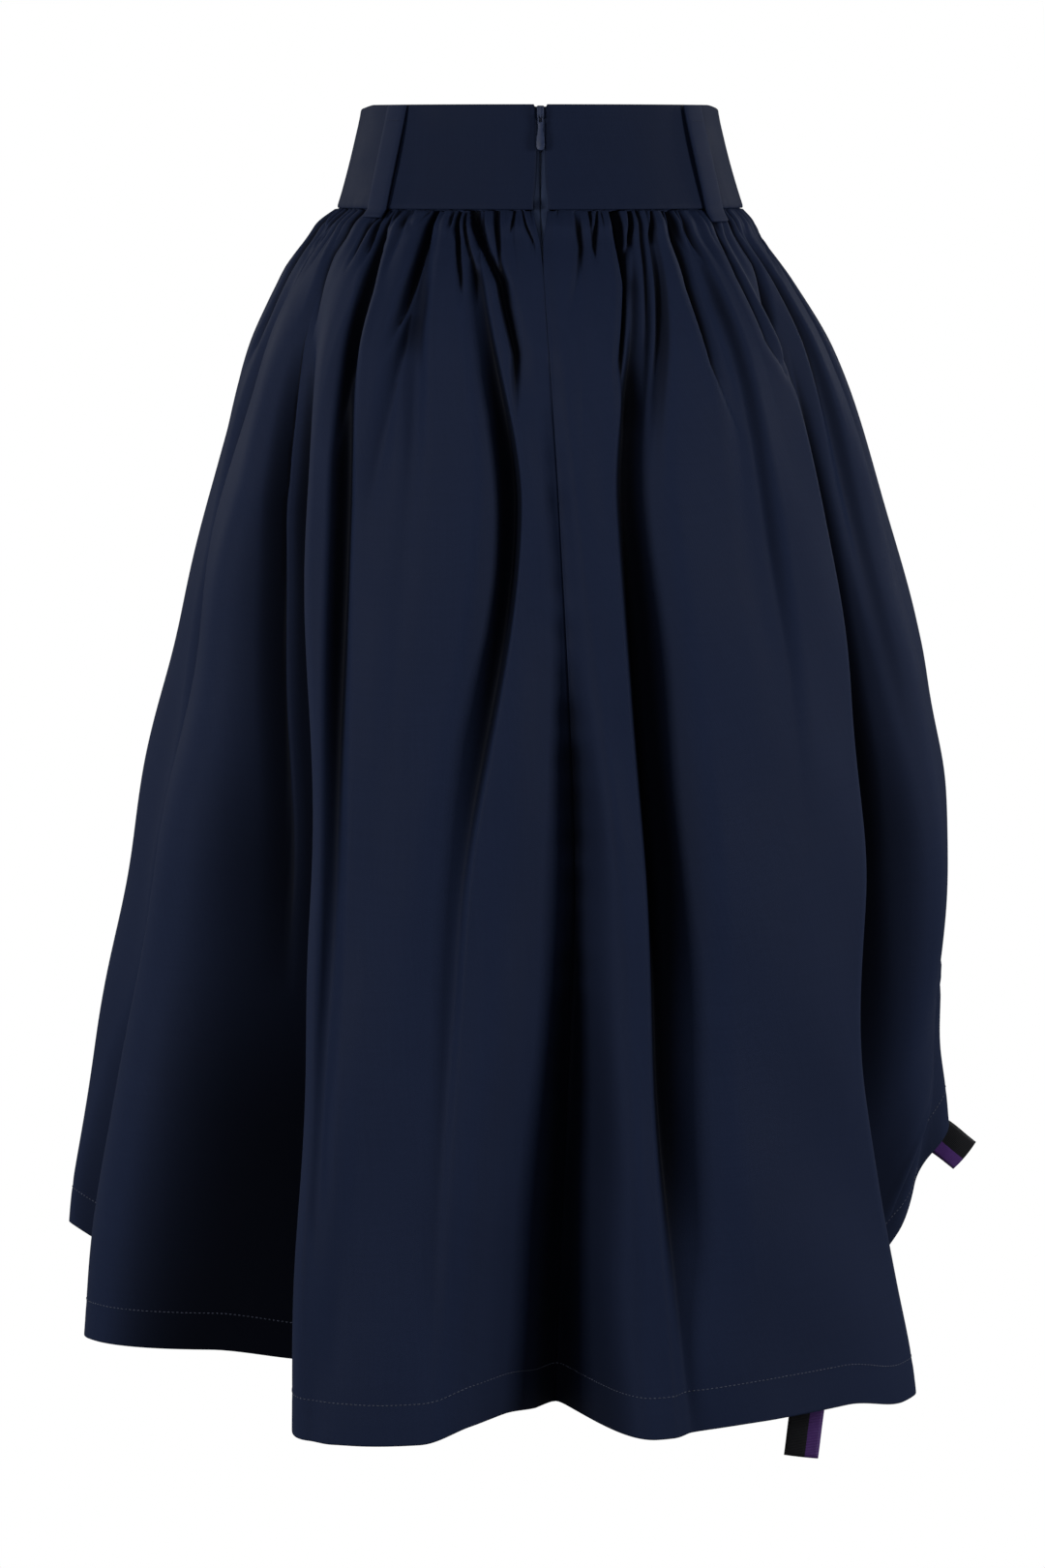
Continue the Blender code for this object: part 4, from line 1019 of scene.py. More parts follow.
def add_cloth(
    name, grid, material, thickness, extra=None, extra_thickness=0.0, flat=None, painted_shade=None
):
    """Cloth whose outer face is a grid of points, thickened inward. Where extra is 1 it is thicker
    by extra_thickness. Its UV map holds the distances along its rows and columns, in metres, and
    the shade mask, where it is given, tells its material how deep in the folds each point lies,
    for the shade painted into its colour there."""
    mesh = bpy.data.meshes.new(name)
    faces = grid_faces(*grid.shape[:2])
    mesh.from_pydata(grid.reshape(-1, 3).tolist(), [], faces.tolist())
    if flat is None:
        flat = np.stack([lengths(grid, 1), lengths(grid, 0)], -1)
    lay_flat(mesh, flat, faces)
    # The mask for the shade painted into the cloth's colour.
    if painted_shade is not None:
        painted_shade_layer = mesh.attributes.new("painted_shade", "FLOAT", "POINT")
        painted_shade_layer.data.foreach_set("value", painted_shade.astype(np.float32).ravel())
    mesh.shade_smooth()
    piece = add_object(name, mesh, material)
    wall = piece.modifiers.new("wall", "SOLIDIFY")
    wall.offset, wall.use_even_offset = -1.0, False
    wall.thickness = thickness + extra_thickness
    if extra is not None:
        weights = piece.vertex_groups.new(name="turning")
        for weight in np.unique(np.round(extra, 1)):
            picked = np.flatnonzero(np.round(extra, 1).ravel() == weight)
            weights.add(picked.tolist(), float(weight), "REPLACE")
        wall.vertex_group = "turning"
        wall.thickness_vertex_group = thickness / (thickness + extra_thickness)
    return piece


def settle(piece, node, body="skirt"):
    """The piece stands for its CAD node and rides on its body."""
    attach(piece, body)
    if node:
        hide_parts(node)
    return piece


def evaluated_mesh(guide):
    """A guide object's finished shape as a plain mesh. The guide is removed."""
    bpy.context.view_layer.update()
    graph = bpy.context.evaluated_depsgraph_get()
    mesh = bpy.data.meshes.new_from_object(guide.evaluated_get(graph))
    mesh.transform(guide.matrix_world)
    bpy.data.objects.remove(guide)
    return mesh


def close_and_face_out(mesh, reach):
    """The mesh with its doubled points merged and its faces turned outwards."""
    body = bmesh.new()
    body.from_mesh(mesh)
    bmesh.ops.remove_doubles(body, verts=body.verts, dist=reach)
    bmesh.ops.recalc_face_normals(body, faces=body.faces)
    body.to_mesh(mesh)
    body.free()


# --- The skirt's panels --------------------------------------------------------------------------
def panel_turns(start, end):
    """A panel's columns, close together under the seam and along the hem alike."""
    fine = np.linspace(start, end, 1200)
    levels, crowding = zip(*COLUMN_CROWDING)
    steps = 0.0
    for row, weight in zip(skirt_surface(fine, levels), crowding):
        steps = steps + weight * np.linalg.norm(np.diff(row, axis=0), axis=1)
    run = np.concatenate([[0], np.cumsum(steps)])
    return np.interp(np.linspace(0, run[-1], PANEL_COLUMNS), run, fine)


def pull_apart(grid, edge, inside):
    """One edge column of a grid, drawn back by its half of a seam's gap."""
    step = grid[:, inside] - grid[:, edge]
    grid[:, edge] += step / np.linalg.norm(step, axis=1, keepdims=True) * SEAM_GAP / 2


def panel_grid(start, end):
    grid = skirt_surface(panel_turns(start, end), PANEL_DOWNS)
    for edge, inside, seam in ((0, 1, start), (-1, -2, end)):
        if seam not in (0.0, 360.0):
            pull_apart(grid, edge, inside)
    return grid


def height_above_hem(grid):
    """Each point's distance up its column from the hem's edge."""
    return lengths(grid[::-1], 0)[::-1]


def turning_share(grid):
    """How much of the hem's turning lies behind each point: 1 within the turning."""
    return np.clip((HEM_HEIGHT + TURNING_EDGE - height_above_hem(grid)) / TURNING_EDGE, 0, 1)


def press_hem(grid):
    """The row of stitches at the top of the hem's turning sinks into the cloth."""
    sink = STITCH_SINK * swell(height_above_hem(grid) - HEM_HEIGHT, STITCH_SINK_REACH)
    return grid - face_normals(grid) * sink[..., None]


def lip_depth(seam):
    """How deep a panel's edge turns in at a seam, row by row: the zip's tapes and the drawstring's
    channel leave little room behind it."""
    if seam in (0.0, 360.0):
        tape_foot = TAPE_LENGTH + 0.014 - SKIRT_TOP
        short = np.clip((tape_foot - PANEL_DOWNS * TYPICAL_FALL) / 0.010, 0, 1)
    elif seam == RIGHT_SIDE_SEAM:
        short = ramp(PANEL_DOWNS, RUCHE_TOP - 0.03, 0.02)
    else:
        short = np.zeros(len(PANEL_DOWNS))
    return LIP + (SHORT_LIP - LIP) * short


def turn_edges_in(grid, start, end):
    """The panel's grid with both of its edges turned in, side by side with the next panel's and a
    little aslant, so that nothing shows between them."""
    for seam, edge, inside in ((start, 0, 1), (end, -1, -2)):
        rim = grid[:, edge]
        away = np.arctan2(rim[:, 1], rim[:, 0]) + math.radians(LIP_SLANT)
        inward = -np.column_stack([np.cos(away), np.sin(away), 0 * away])
        across = rim - grid[:, inside]
        across *= 0.3 * SEAM_GAP / np.linalg.norm(across, axis=1, keepdims=True)
        turned = inward * lip_depth(seam)[:, None] + across
        lip = [(rim + turned * share)[:, None] for share in LIP_SHARES]
        grid = np.concatenate(lip[::-1] + [grid] if edge == 0 else [grid] + lip, axis=1)
    return grid


def turn_top_in(grid):
    """The panel's grid with its gathered top edge turned up behind the waistband, except beside
    the zip."""
    top = grid[0]
    away = top[:, :2] / np.linalg.norm(top[:, :2], axis=1, keepdims=True)
    by_zip = np.clip((0.016 - np.abs(top[:, 0])) / 0.006, 0, 1) * (top[:, 1] > 0)
    room = (1 - by_zip)[:, None]
    seat, _ = outline(np.degrees(np.arctan2(top[:, 0], top[:, 1])), BAND_DROP)
    inward = (seat - away * TOP_BEHIND - top[:, :2]) * room
    rows = [
        np.column_stack([top[:, :2] + inward * share, top[:, 2] + rise * room[:, 0]])
        for share, rise in TOP_TURN
    ]
    return np.concatenate([np.array(rows[::-1]), grid], axis=0)


def panel_painted_shade(grid, start, end):
    """The mask for the shade painted into the panel's hollows, seen with the cloth beyond its
    seams;
    its turned-in edges get as much painted shade as the cloth beside them."""
    past = np.linspace(0, SIGHT_TURN, SIGHT + 1)[1:]
    beyond = [skirt_surface(turns, PANEL_DOWNS) for turns in (start - past[::-1], end + past)]
    painted_shade = painted_shade_mask(np.concatenate([beyond[0], grid, beyond[1]], axis=1), SIGHT)
    columns = len(LIP_SHARES)
    return np.pad(painted_shade, ((len(TOP_TURN), 0), (columns, columns)), mode="edge")


def add_panel(name, node, start, end):
    """A panel of the skirt from one seam to the next, and the grid of its face between them."""
    grid = press_hem(panel_grid(start, end))
    turned = turn_top_in(turn_edges_in(grid, start, end))
    # The mask for the shade painted into the panel's colour in its hollows.
    share, painted_shade = turning_share(turned), panel_painted_shade(grid, start, end)
    piece = add_cloth(name, turned, "skirt", CLOTH, share, HEM_TURNING, painted_shade=painted_shade)
    return settle(piece, node), grid


def line_above_hem(grid, height, lift):
    """A line across the cloth at a height above its hem, lifted off it."""
    heights, lifted = height_above_hem(grid), grid + face_normals(grid) * lift
    return np.array(
        [
            [np.interp(height, up[::-1], axis[::-1]) for axis in column.T]
            for up, column in zip(heights.T, lifted.transpose(1, 0, 2))
        ]
    )


# --- Stitches and the zip's coil, repeated along a line ------------------------------------------
def make_row_tree():
    """Geometry nodes that set small rounded bits end to end along the object's lines."""
    tree = bpy.data.node_groups.new("bits_along_a_line", "GeometryNodeTree")
    sockets = (
        ("Geometry", "NodeSocketGeometry", None),
        ("Spacing", FLOAT, 0.003),
        ("Bit Length", FLOAT, 0.002),
        ("Bit Thickness", FLOAT, 0.0005),
        ("Unevenness", FLOAT, 0.1),
        ("Seed", "NodeSocketInt", 3),
        ("Material", "NodeSocketMaterial", None),
    )
    for label, kind, value in sockets:
        socket = tree.interface.new_socket(label, in_out="INPUT", socket_type=kind)
        if value is not None:
            socket.default_value = value
    tree.interface.new_socket("Geometry", in_out="OUTPUT", socket_type="NodeSocketGeometry")
    start, end = tree.nodes.new("NodeGroupInput"), tree.nodes.new("NodeGroupOutput")
    given = start.outputs
    line = add_node(tree, "GeometryNodeMeshToCurve", {0: given["Geometry"]})
    evened = add_node(
        tree,
        "GeometryNodeResampleCurve",
        {"Curve": line.outputs[0], "Length": given["Spacing"]},
        mode="LENGTH",
    )
    bit = add_node(
        tree, "GeometryNodeMeshUVSphere", {"Segments": 6, "Rings": 4, "Radius": 0.5}
    )
    tangent = add_node(tree, "GeometryNodeInputTangent")
    aim = add_node(
        tree, "FunctionNodeAlignRotationToVector", {"Vector": tangent.outputs[0]}, axis="Z"
    )
    least = maths(tree, "SUBTRACT", 1.0, given["Unevenness"])
    chance = add_node(
        tree, "FunctionNodeRandomValue", {"Seed": given["Seed"]}, data_type="FLOAT"
    )
    tree.links.new(least, chance.inputs[2])
    chance.inputs[3].default_value = 1.0
    long = maths(tree, "MULTIPLY", given["Bit Length"], chance.outputs[1])
    size = add_node(
        tree,
        "ShaderNodeCombineXYZ",
        {0: given["Bit Thickness"], 1: given["Bit Thickness"], 2: long},
    )
    placed = add_node(
        tree,
        "GeometryNodeInstanceOnPoints",
        {
            "Points": evened.outputs[0],
            "Instance": bit.outputs[0],
            "Rotation": aim.outputs[0],
            "Scale": size.outputs[0],
        },
    )
    real = add_node(tree, "GeometryNodeRealizeInstances", {0: placed.outputs[0]})
    coloured = add_node(
        tree,
        "GeometryNodeSetMaterial",
        {"Geometry": real.outputs[0], "Material": given["Material"]},
    )
    tree.links.new(coloured.outputs[0], end.inputs[0])
    return tree


ROW_TREE = make_row_tree()


def add_row(name, lines, material, spacing, length, thickness, unevenness=0.15):
    """Small bits along one or more lines of points, as one plain mesh."""
    path = bpy.data.meshes.new(name + "_path")
    points, edges = [], []
    for line in lines:
        first = len(points)
        points += [tuple(point) for point in line]
        edges += [(first + k, first + k + 1) for k in range(len(line) - 1)]
    path.from_pydata(points, edges, [])
    guide = bpy.data.objects.new(name + "_guide", path)
    bpy.context.scene.collection.objects.link(guide)
    row = guide.modifiers.new("row", "NODES")
    row.node_group = ROW_TREE
    values = {
        "Spacing": spacing,
        "Bit Length": length,
        "Bit Thickness": thickness,
        "Unevenness": unevenness,
        "Material": MATERIALS[material],
    }
    for item in ROW_TREE.interface.items_tree:
        if item.item_type == "SOCKET" and item.in_out == "INPUT" and item.name in values:
            row[item.identifier] = values[item.name]
    mesh = evaluated_mesh(guide)
    mesh.name = name
    mesh.shade_smooth()
    piece = bpy.data.objects.new(name, mesh)
    bpy.context.scene.collection.objects.link(piece)
    return piece


# --- The waistband, its loops and the zip --------------------------------------------------------
BAND_WAVE = 0.00022
BAND_DENT, BAND_DENT_REACH = 0.10, 0.006  # dents as a share of the gathers, and how far up they go
BAND_DENT_FALL = 0.004  # where the gathers are measured for them
BAND_DROPS = np.concatenate(
    [[0, 0.00035, 0.0009, 0.0018], np.linspace(0.004, 0.063, 22), [0.0652, 0.0664, 0.067]]
)
BAND_ROLL, BAND_ROLL_DROP = 0.0009, 0.0014  # how far its top edge rolls in, and from how far down
BAND_TUCK, BAND_TUCK_RISE = 0.0007, 0.0022  # the same for its foot
LOOP_COLUMNS = 13
TAPE_STEPS = (SEAM_GAP / 2, 0.0004, 0.0012, 0.0030, 0.0050, TAPE_WIDTH)
TAPE_ROLL = (-0.0007, -0.0002, 0.0001, 0.0, 0.0, 0.0)
COIL_PITCH, COIL_INNER, COIL_OUTER = 0.0013, 0.0003, 0.0028


def band_face(angle, drop):
    """The waistband's outer face and its level outward normal."""
    angle, drop = np.asarray(angle, float), np.asarray(drop, float)
    share = np.clip(drop / BAND_DROP, 0, 1) ** BAND_FLARE
    wide = (BAND_TOP_WIDTH + (BAND_FOOT_WIDTH - BAND_TOP_WIDTH) * share) / 2
    deep = (BAND_TOP_DEPTH + (BAND_FOOT_DEPTH - BAND_TOP_DEPTH) * share) / 2
    across, along = np.sin(np.radians(angle)), np.cos(np.radians(angle))
    place = np.stack([wide * across, deep * along, -drop + 0 * angle], axis=-1)
    normal = np.stack([across / wide, along / deep, 0 * across], axis=-1)
    return place, normal / np.linalg.norm(normal, axis=-1, keepdims=True)


def band_wave(angle, drop):
    """The waistband's slight unevenness: long waves, and dents from the gathers at its foot."""
    turn = np.radians(angle)
    slow = np.sin(turn * 9 + 30 * drop) + 0.7 * np.sin(turn * 17 - 55 * drop + 1.0)
    dents = gather_shape(np.mod(angle.ravel(), 360), np.full(angle.size, BAND_DENT_FALL))
    near_foot = swell(BAND_DROP - drop, BAND_DENT_REACH)
    return BAND_WAVE * slow - BAND_DENT * dents.reshape(angle.shape) * near_foot


def add_band(name, node, start, end):
    """A piece of the waistband, with its top edge rolled and its foot turned in to the seam."""
    angles, drops = np.meshgrid(np.linspace(start, end, round(end - start) + 1), BAND_DROPS)
    face, normals = band_face(angles, drops)
    roll = BAND_ROLL * np.clip(1 - drops / BAND_ROLL_DROP, 0, 1) ** 2
    tuck = BAND_TUCK * np.clip(1 - (BAND_DROP - drops) / BAND_TUCK_RISE, 0, 1) ** 2
    face += normals * (band_wave(angles, drops) - roll - tuck)[..., None]
    at_side = ramp(np.abs(np.sin(np.radians(angles))), 0.93, 0.07) ** 1.5
    face[..., 2] -= SIDE_DIP * at_side * np.clip(1 - drops / 0.020, 0, 1)
    for edge, inside, seam, side in ((0, 1, start, 1), (-1, -2, end, -1)):
        if seam in (0.0, 360.0):
            near_zip = np.clip(1 - np.abs(face[:, :, 0]) / 0.02, 0, 1)
            face[:, :, 0] += side * near_zip * (zip_gap(BAND_DROPS) / 2)[:, None]
        else:
            pull_apart(face, edge, inside)
    return settle(add_cloth(name, face, "band", BAND_CLOTH), node)


def loop_grid(angle, length):
    """A belt loop's outer face: a strip up the waistband that stands off it between its ends."""
    shares = np.concatenate([[0, 0.012, 0.03], np.linspace(0.06, 0.97, 24), [0.985, 1.0]])
    drops, angles = length * shares, np.full(len(shares), angle)
    place, normal = band_face(angles, drops)
    below, below_normal = outline(angles, np.maximum(drops, BAND_DROP))
    hanging = drops > BAND_DROP
    place[hanging, :2] = (below + below_normal * 0.0012)[hanging]
    side = np.cross(normal, (0.0, 0.0, 1.0))
    arch = np.sin(np.pi * np.clip(drops / length, 0, 1)) ** 0.6
    middle = place + normal * (SEAM_GAP + LOOP_CLOTH + LOOP_STANDOFF * arch)[:, None]
    steps = np.linspace(-1.0, 1.0, LOOP_COLUMNS)[None, :, None]
    plump = 0.0003 * (1 - steps**4) - 0.0004 * ramp(np.abs(steps), 0.86, 0.14)
    half = LOOP_WIDTH / 2
    bow = normal[:, None, :] * ((steps * half) ** 2 * LOOP_BOW - plump)
    grid = middle[:, None] + side[:, None] * steps * half - bow
    grid[-1, :, 2] += 0.0012 * ramp(np.abs(steps[0, :, 0]), 0.8, 0.2)
    return grid


def add_loop(side, node, angle, length):
    """A belt loop, with the stitches that tack it down near its top."""
    grid = loop_grid(angle, length)
    piece = add_cloth("loop_strip_" + side, grid, "loop", LOOP_CLOTH)
    edges = piece.modifiers.new("folded_edges", "BEVEL")
    edges.width, edges.segments, edges.limit_method = 0.0004, 2, "ANGLE"
    edges.angle_limit = math.radians(50)
    settle(piece, node)
    tack = (grid + face_normals(grid) * THREAD_LIFT)[5, 3:10]
    row = add_row("loop_tack_" + side, [tack], "tone_stitch", 0.0016, 0.0013, 0.0004)
    settle(row, None)
    return piece


def tape_line(drops):
    """Where the zip's tapes lie: just inside the deepest cloth beside the centre-back opening."""
    band, _ = band_face(np.zeros(len(drops)), drops)
    downs = np.clip((drops - BAND_DROP) / (hem_drop(0.0) - BAND_DROP), 0, 1)
    beside = np.linspace(0.0, 5.0, 11)
    left, right = skirt_surface(beside, downs), skirt_surface(360.0 - beside, downs)
    nearest = np.minimum(left[:, :, 1].min(1), right[:, :, 1].min(1)) - CLOTH * 1.8
    on_skirt = drops > BAND_DROP
    near_seam = (drops > BAND_DROP - 0.006) & ~on_skirt
    depth = band[:, 1] - BAND_CLOTH
    depth = np.where(near_seam, np.minimum(depth, nearest), depth)
    depth = np.where(on_skirt, nearest, depth)
    middle = np.where(on_skirt, (left[:, 0, 0] + right[:, 0, 0]) / 2, 0.0)
    return middle, smooth_run_of(depth) - 2 * SEAM_GAP


def smooth_run_of(values):
    """A run of values with its small jumps evened out."""
    padded = np.concatenate([values[:1], values, values[-1:]])
    return np.minimum(values, (padded[:-2] + values + padded[2:]) / 3)


def add_tape(name, node, side):
    """Half of the zip's tape, behind the opening's edge, rolled where it meets the other half."""
    drops = np.linspace(0.0015, TAPE_LENGTH, 90)
    middle, depth = tape_line(drops)
    steps, roll = side * np.array(TAPE_STEPS)[::side], np.array(TAPE_ROLL)[::side]
    across = middle[:, None] + steps[None, :]
    deep = depth[:, None] + roll[None, :]
    down = np.repeat(-drops[:, None], len(steps), 1)
    piece = add_cloth(name, np.stack([across, deep, down], -1), "tape", TAPE_CLOTH)
    settle(piece, node)


def add_coil(name, side):
    """The zip's coil, sewn to the inside of its tape: bars across it, one after another."""
    drops = np.arange(0.012, TAPE_LENGTH - 0.006, COIL_PITCH)
    middle, depth = tape_line(drops)
    lines = [
        [(x + side * COIL_INNER, y, -drop), (x + side * COIL_OUTER, y, -drop)]
        for x, y, drop in zip(middle, depth - TAPE_CLOTH - 0.0006, drops)
    ]
    settle(add_row(name, lines, "coil", 0.0050, 0.0026, 0.0009, 0.0), None)


def pull_outline(rows):
    """The pull tab's outline, down one side and up the other."""
    return [(x, -down) for x, down in rows] + [(-x, -down) for x, down in rows[-2:0:-1]]


def smooth_outline(rows, count):
    """An outline's rows with more between them, on a smooth curve."""
    rows = np.array(rows)
    far = np.concatenate([[0], np.cumsum(np.linalg.norm(np.diff(rows, axis=0), axis=1))])
    at = np.linspace(0, far[-1], count)
    return np.column_stack([smooth_curve(at, far, rows[:, 0]), smooth_curve(at, far, rows[:, 1])])


def add_pull(name, node, pivot):
    """The zip's pull tab: a flat teardrop with rounded edges, hanging from its pivot."""
    flat = bpy.data.curves.new(name, "CURVE")
    flat.dimensions, flat.fill_mode = "2D", "BOTH"
    flat.bevel_depth, flat.bevel_resolution = 0.0003, 2
    flat.extrude = PULL_THICKNESS / 2 - flat.bevel_depth
    flat.offset = -flat.bevel_depth
    for loop in (pull_outline(smooth_outline(PULL_ROWS, 34).tolist()), pull_outline(PULL_SLOT)):
        spline = flat.splines.new("POLY")
        spline.points.add(len(loop) - 1)
        spline.use_cyclic_u = True
        for point, (x, y) in zip(spline.points, loop):
            point.co = (x, y, 0.0, 1.0)
    drawn = bpy.data.objects.new("pull_outline", flat)
    bpy.context.scene.collection.objects.link(drawn)
    drawn.rotation_euler = (math.radians(90 + PULL_TILT), 0.0, 0.0)
    drawn.location = pivot
    mesh = evaluated_mesh(drawn)
    close_and_face_out(mesh, 0.00001)
    mesh.materials.clear()
    mesh.shade_smooth()
    mesh.set_sharp_from_angle(angle=math.radians(50))
    return settle(add_object(name, mesh, "enamel"), node, "zip_pull")


def paint_node(node, material):
    """A CAD node keeps its shape and gets a better material."""
    piece = frame["nodes"][node]
    if not piece.data.materials:
        piece.data.materials.append(None)
    for slot in piece.material_slots:
        slot.link = "OBJECT"
        slot.material = MATERIALS[material]


# --- The drawstring ------------------------------------------------------------------------------
def smooth_run(points, count):
    """A smooth run of evenly spaced points through a few. Whatever follows their x, y and z in
    each row is smoothed along with them."""
    points = np.array(points, float)
    steps = np.linalg.norm(np.diff(points[:, :3], axis=0), axis=1)
    far = np.concatenate([[0], np.cumsum(steps)])
    at = np.linspace(0, far[-1], count)
    slopes = np.gradient(points, far, axis=0)
    i = np.clip(np.searchsorted(far, at, side="right") - 1, 0, len(far) - 2)
    step = (far[i + 1] - far[i])[:, None]
    s = (at - far[i])[:, None] / step
    rise = s * s * (3 - 2 * s)
    bend = s * (1 - s) ** 2 * step * slopes[i] + s * s * (s - 1) * step * slopes[i + 1]
    return points[i] * (1 - rise) + points[i + 1] * rise + bend


def ribbon_grid(name):
    """A run of ribbon: its face as a grid, its middle line and its flat places."""
    run = smooth_run(RIBBONS[name], RIBBON_ROWS[name])
    middle, across = run[:, :3], run[:, 3:]
    along = np.gradient(middle, axis=0)
    along /= np.linalg.norm(along, axis=1, keepdims=True)
    across = across - np.sum(across * along, axis=1, keepdims=True) * along
    across /= np.linalg.norm(across, axis=1, keepdims=True)
    out = np.cross(across, along)
    steps = np.linspace(-0.5, 0.5, RIBBON_COLUMNS)
    cup = RIBBON_CUP * (1 - 4 * steps**2)[None, :]
    begun = np.minimum(1, np.linspace(0, 8, len(run)))[:, None]
    waver = RIBBON_WAVER * np.sin(np.linspace(0, 9, len(run)))[:, None] * steps[None, :]
    grid = middle[:, None] + across[:, None] * (steps * RIBBON_WIDTH)[None, :, None]
    grid = grid + out[:, None] * (cup * begun + waver)[..., None]
    share = steps + 0.5 if PURPLE_SIDE[name] else 0.5 - steps
    far = lengths(grid, 0)[:, RIBBON_COLUMNS // 2]
    flat = np.stack(np.broadcast_arrays(far[:, None], (share * RIBBON_WIDTH)[None, :]), -1)
    return grid, middle, flat


def add_ribbon(name, new_name):
    grid, middle, flat = ribbon_grid(name)
    piece = add_cloth(new_name, grid, "ribbon", RIBBON_CLOTH, flat=flat)
    settle(piece, name)
    return piece, middle


def add_knot(name, node):
    """The ribbon's knot: a turn of ribbon drawn tight over the folds inside it."""
    tilts, turns = np.linspace(0, np.pi, KNOT_ROWS), np.linspace(0, 2 * np.pi, KNOT_COLUMNS + 1)
    tilt, around = np.meshgrid(tilts, turns, indexing="ij")
    unit = np.stack(
        [np.sin(tilt) * np.cos(around), np.sin(tilt) * np.sin(around), np.cos(tilt)], -1
    )
    body = np.sign(unit) * np.abs(unit) ** 0.8
    crossing = 0.5 + 0.5 * np.cos(5 * tilt + 1.2 * np.sin(around))
    wrapped = np.exp(-((unit[..., 2] - 0.35 * unit[..., 0]) ** 2) / 0.12)
    plump = 1 - 0.10 * crossing * (1 - wrapped) * np.sin(tilt)
    low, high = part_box(node)
    grid = np.array((low + high) / 2) + body * plump[..., None] * np.array(KNOT_SIZE) / 2
    faces = grid_faces(*grid.shape[:2])
    mesh = bpy.data.meshes.new(name)
    mesh.from_pydata(grid.reshape(-1, 3).tolist(), [], faces.tolist())
    flat = np.stack([around * 0.008, (0.5 + 0.28 * unit[..., 2]) * RIBBON_WIDTH], -1)
    lay_flat(mesh, flat, faces)
    close_and_face_out(mesh, 0.000001)
    mesh.shade_smooth()
    return settle(add_object(name, mesh, "ribbon"), node)


CHANNEL_START = int(np.searchsorted(PANEL_DOWNS, RUCHE_TOP))  # the row of the panels it starts at
CHANNEL_REACH = 5  # how many of their columns it takes up on each side of the seam


def channel_grid(front, back, depth):
    """The drawstring's channel, behind the panels' edges at the right side seam."""
    low, high = front - face_normals(front) * depth, back - face_normals(back) * depth
    seam = (low[:, -1] + high[:, 0]) / 2
    columns = [low[:, -1 - k] for k in range(CHANNEL_REACH, 0, -1)] + [seam]
    columns += [high[:, k] for k in range(1, CHANNEL_REACH + 1)]
    return np.stack(columns, 1)[CHANNEL_START:]


# --- Stage ---------------------------------------------------------------------------------------
def add_floor():
    """A plain pale floor: white to the camera, and a soft grey in the light it throws back."""
    mesh = bpy.data.meshes.new("floor")
    far, level = 30.0, -1.05
    corners = [(-far, -far, level), (far, -far, level), (far, far, level), (-far, far, level)]
    mesh.from_pydata(corners, [], [(0, 1, 2, 3)])
    floor = bpy.data.objects.new("floor", mesh)
    bpy.context.scene.collection.objects.link(floor)
    material = bpy.data.materials.new("pale_floor")
    material.use_nodes = True
    tree = material.node_tree
    shader = tree.nodes["Principled BSDF"]
    shader.inputs["Base Color"].default_value = (0.2, 0.2, 0.2, 1.0)
    shader.inputs["Roughness"].default_value = 1.0
    shader.inputs["Specular IOR Level"].default_value = 0.0
    glow = add_node(tree, "ShaderNodeEmission", {"Color": (1.0, 1.0, 1.0, 1.0), "Strength": 1.0})
    seen = add_node(tree, "ShaderNodeLightPath").outputs["Is Camera Ray"]
    mixed = add_node(
        tree,
        "ShaderNodeMixShader",
        {0: seen, 1: shader.outputs[0], 2: glow.outputs[0]},
    )
    tree.links.new(mixed.outputs[0], tree.nodes["Material Output"].inputs[0])
    mesh.materials.append(material)


def add_softbox(name, place, size, power, aim=(0.0, 0.0, -0.42)):
    """A square light with a size and a power, aimed at the middle of the skirt."""
    light = bpy.data.lights.new(name, "AREA")
    light.size, light.energy = size, power
    box = bpy.data.objects.new(name, light)
    box.location = place
    box.rotation_euler = (Vector(aim) - Vector(place)).to_track_quat("-Z", "Y").to_euler()
    bpy.context.scene.collection.objects.link(box)


def add_lights():
    """White surroundings, a key light from behind the camera, one light to each side of the back
    and two for the front."""
    world = bpy.data.worlds.new("studio")
    bpy.context.scene.world = world
    world.use_nodes = True
    tree = world.node_tree
    room = tree.nodes["Background"]
    seen = add_node(tree, "ShaderNodeLightPath").outputs["Is Camera Ray"]
    tree.links.new(maths(tree, "MULTIPLY_ADD", seen, 0.95, 0.05), room.inputs["Strength"])
    room.inputs["Color"].default_value = (1.0, 1.0, 1.0, 1.0)
    add_softbox("key", (0.7, 3.3, 0.9), 0.7, 24.0)
    add_softbox("left", (2.5, 1.7, 0.1), 0.7, 48.0)
    add_softbox("right", (-2.5, 1.2, 0.1), 0.7, 44.0)
    add_softbox("front_left", (2.9, -1.9, 0.9), 1.0, 32.0)
    add_softbox("front_right", (-2.9, -1.9, 0.9), 1.0, 32.0)
    bpy.context.scene.view_settings.view_transform = "Standard"


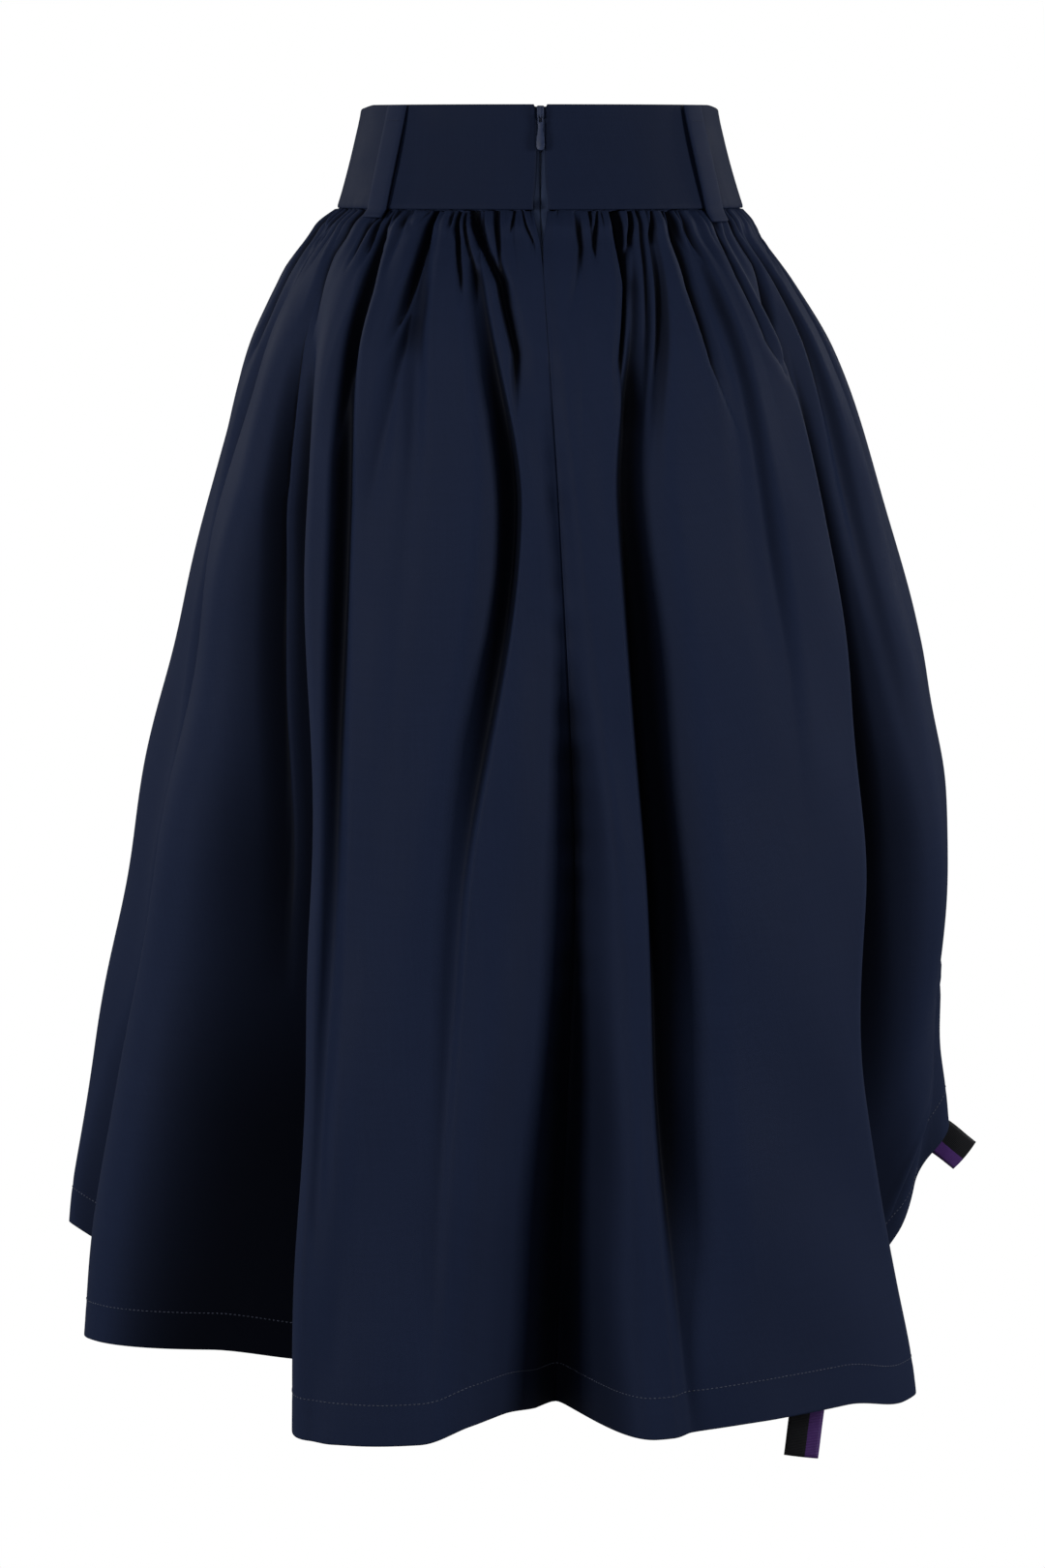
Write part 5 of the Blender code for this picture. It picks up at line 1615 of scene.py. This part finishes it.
# --- Everything in its place ---------------------------------------------------------------------
def dress_skirt():
    """The panels, hem and channel."""
    left, left_grid = add_panel("panel_back_left", "skirt_back_left", 0.0, LEFT_SIDE_SEAM)
    front, front_grid = add_panel("panel_front", "skirt_front", LEFT_SIDE_SEAM, RIGHT_SIDE_SEAM)
    right, right_grid = add_panel("panel_back_right", "skirt_back_right", RIGHT_SIDE_SEAM, 360.0)
    channel_face = channel_grid(front_grid, right_grid, CLOTH + 0.0006)
    channel = add_cloth("drawstring_channel", channel_face, "skirt", CLOTH)
    settle(channel, "drawstring_casing")
    grids = (left_grid, front_grid, right_grid)
    hem_lines = [line_above_hem(grid, HEM_HEIGHT, THREAD_LIFT) for grid in grids]
    channel_lines = [
        (grid + face_normals(grid) * THREAD_LIFT)[CHANNEL_START:-2, column]
        for grid, column in ((front_grid, -5), (right_grid, 4))
    ]
    hem = add_row("hem_stitches", hem_lines, "stitch", 0.0030, 0.0021, 0.00065)
    settle(hem, None)
    row = add_row("channel_stitches", channel_lines, "tone_stitch", 0.0030, 0.0022, 0.00055)
    settle(row, None)
    return (left, right, front), channel, (left_grid, right_grid, front_grid)


def dress_waist():
    """The waistband, its loops and the zip."""
    bands = [
        add_band("band_back_left", "waistband_back_left", 0.0, LEFT_SIDE_SEAM),
        add_band("band_front", "waistband_front", LEFT_SIDE_SEAM, RIGHT_SIDE_SEAM),
        add_band("band_back_right", "waistband_back_right", RIGHT_SIDE_SEAM, 360.0),
    ]
    loops = [
        add_loop(node.replace("belt_loop_", ""), node, angle, length)
        for node, angle, length in LOOPS
    ]
    for name, side in (("left", 1), ("right", -1)):
        add_tape("tape_" + name, "zip_tape_" + name, side)
        add_coil("coil_" + name, side)
    pivot = next(j for j in frame["joints"] if j["name"] == "pull_tab_hinge")["pos_m"]
    add_pull("pull_tab", "zip_pull", pivot)
    paint_node("zip_slider", "enamel")
    return bands, loops


def dress_drawstring():
    """The bow's knot, its loop and its two free tails."""
    knot = add_knot("bow_knot", "ribbon_knot")
    loop, _ = add_ribbon("ribbon_loop", "bow_loop")
    for node, name, going_with in (
        ("ribbon_tail_long", "bow_tail_long", [knot, loop]),
        ("ribbon_tail_short", "bow_tail_short", []),
    ):
        tail, middle = add_ribbon(node, name)


dress_drawstring()
skirt_panels, skirt_channel, skirt_grids = dress_skirt()
waist_bands, waist_loops = dress_waist()
add_floor()
add_lights()
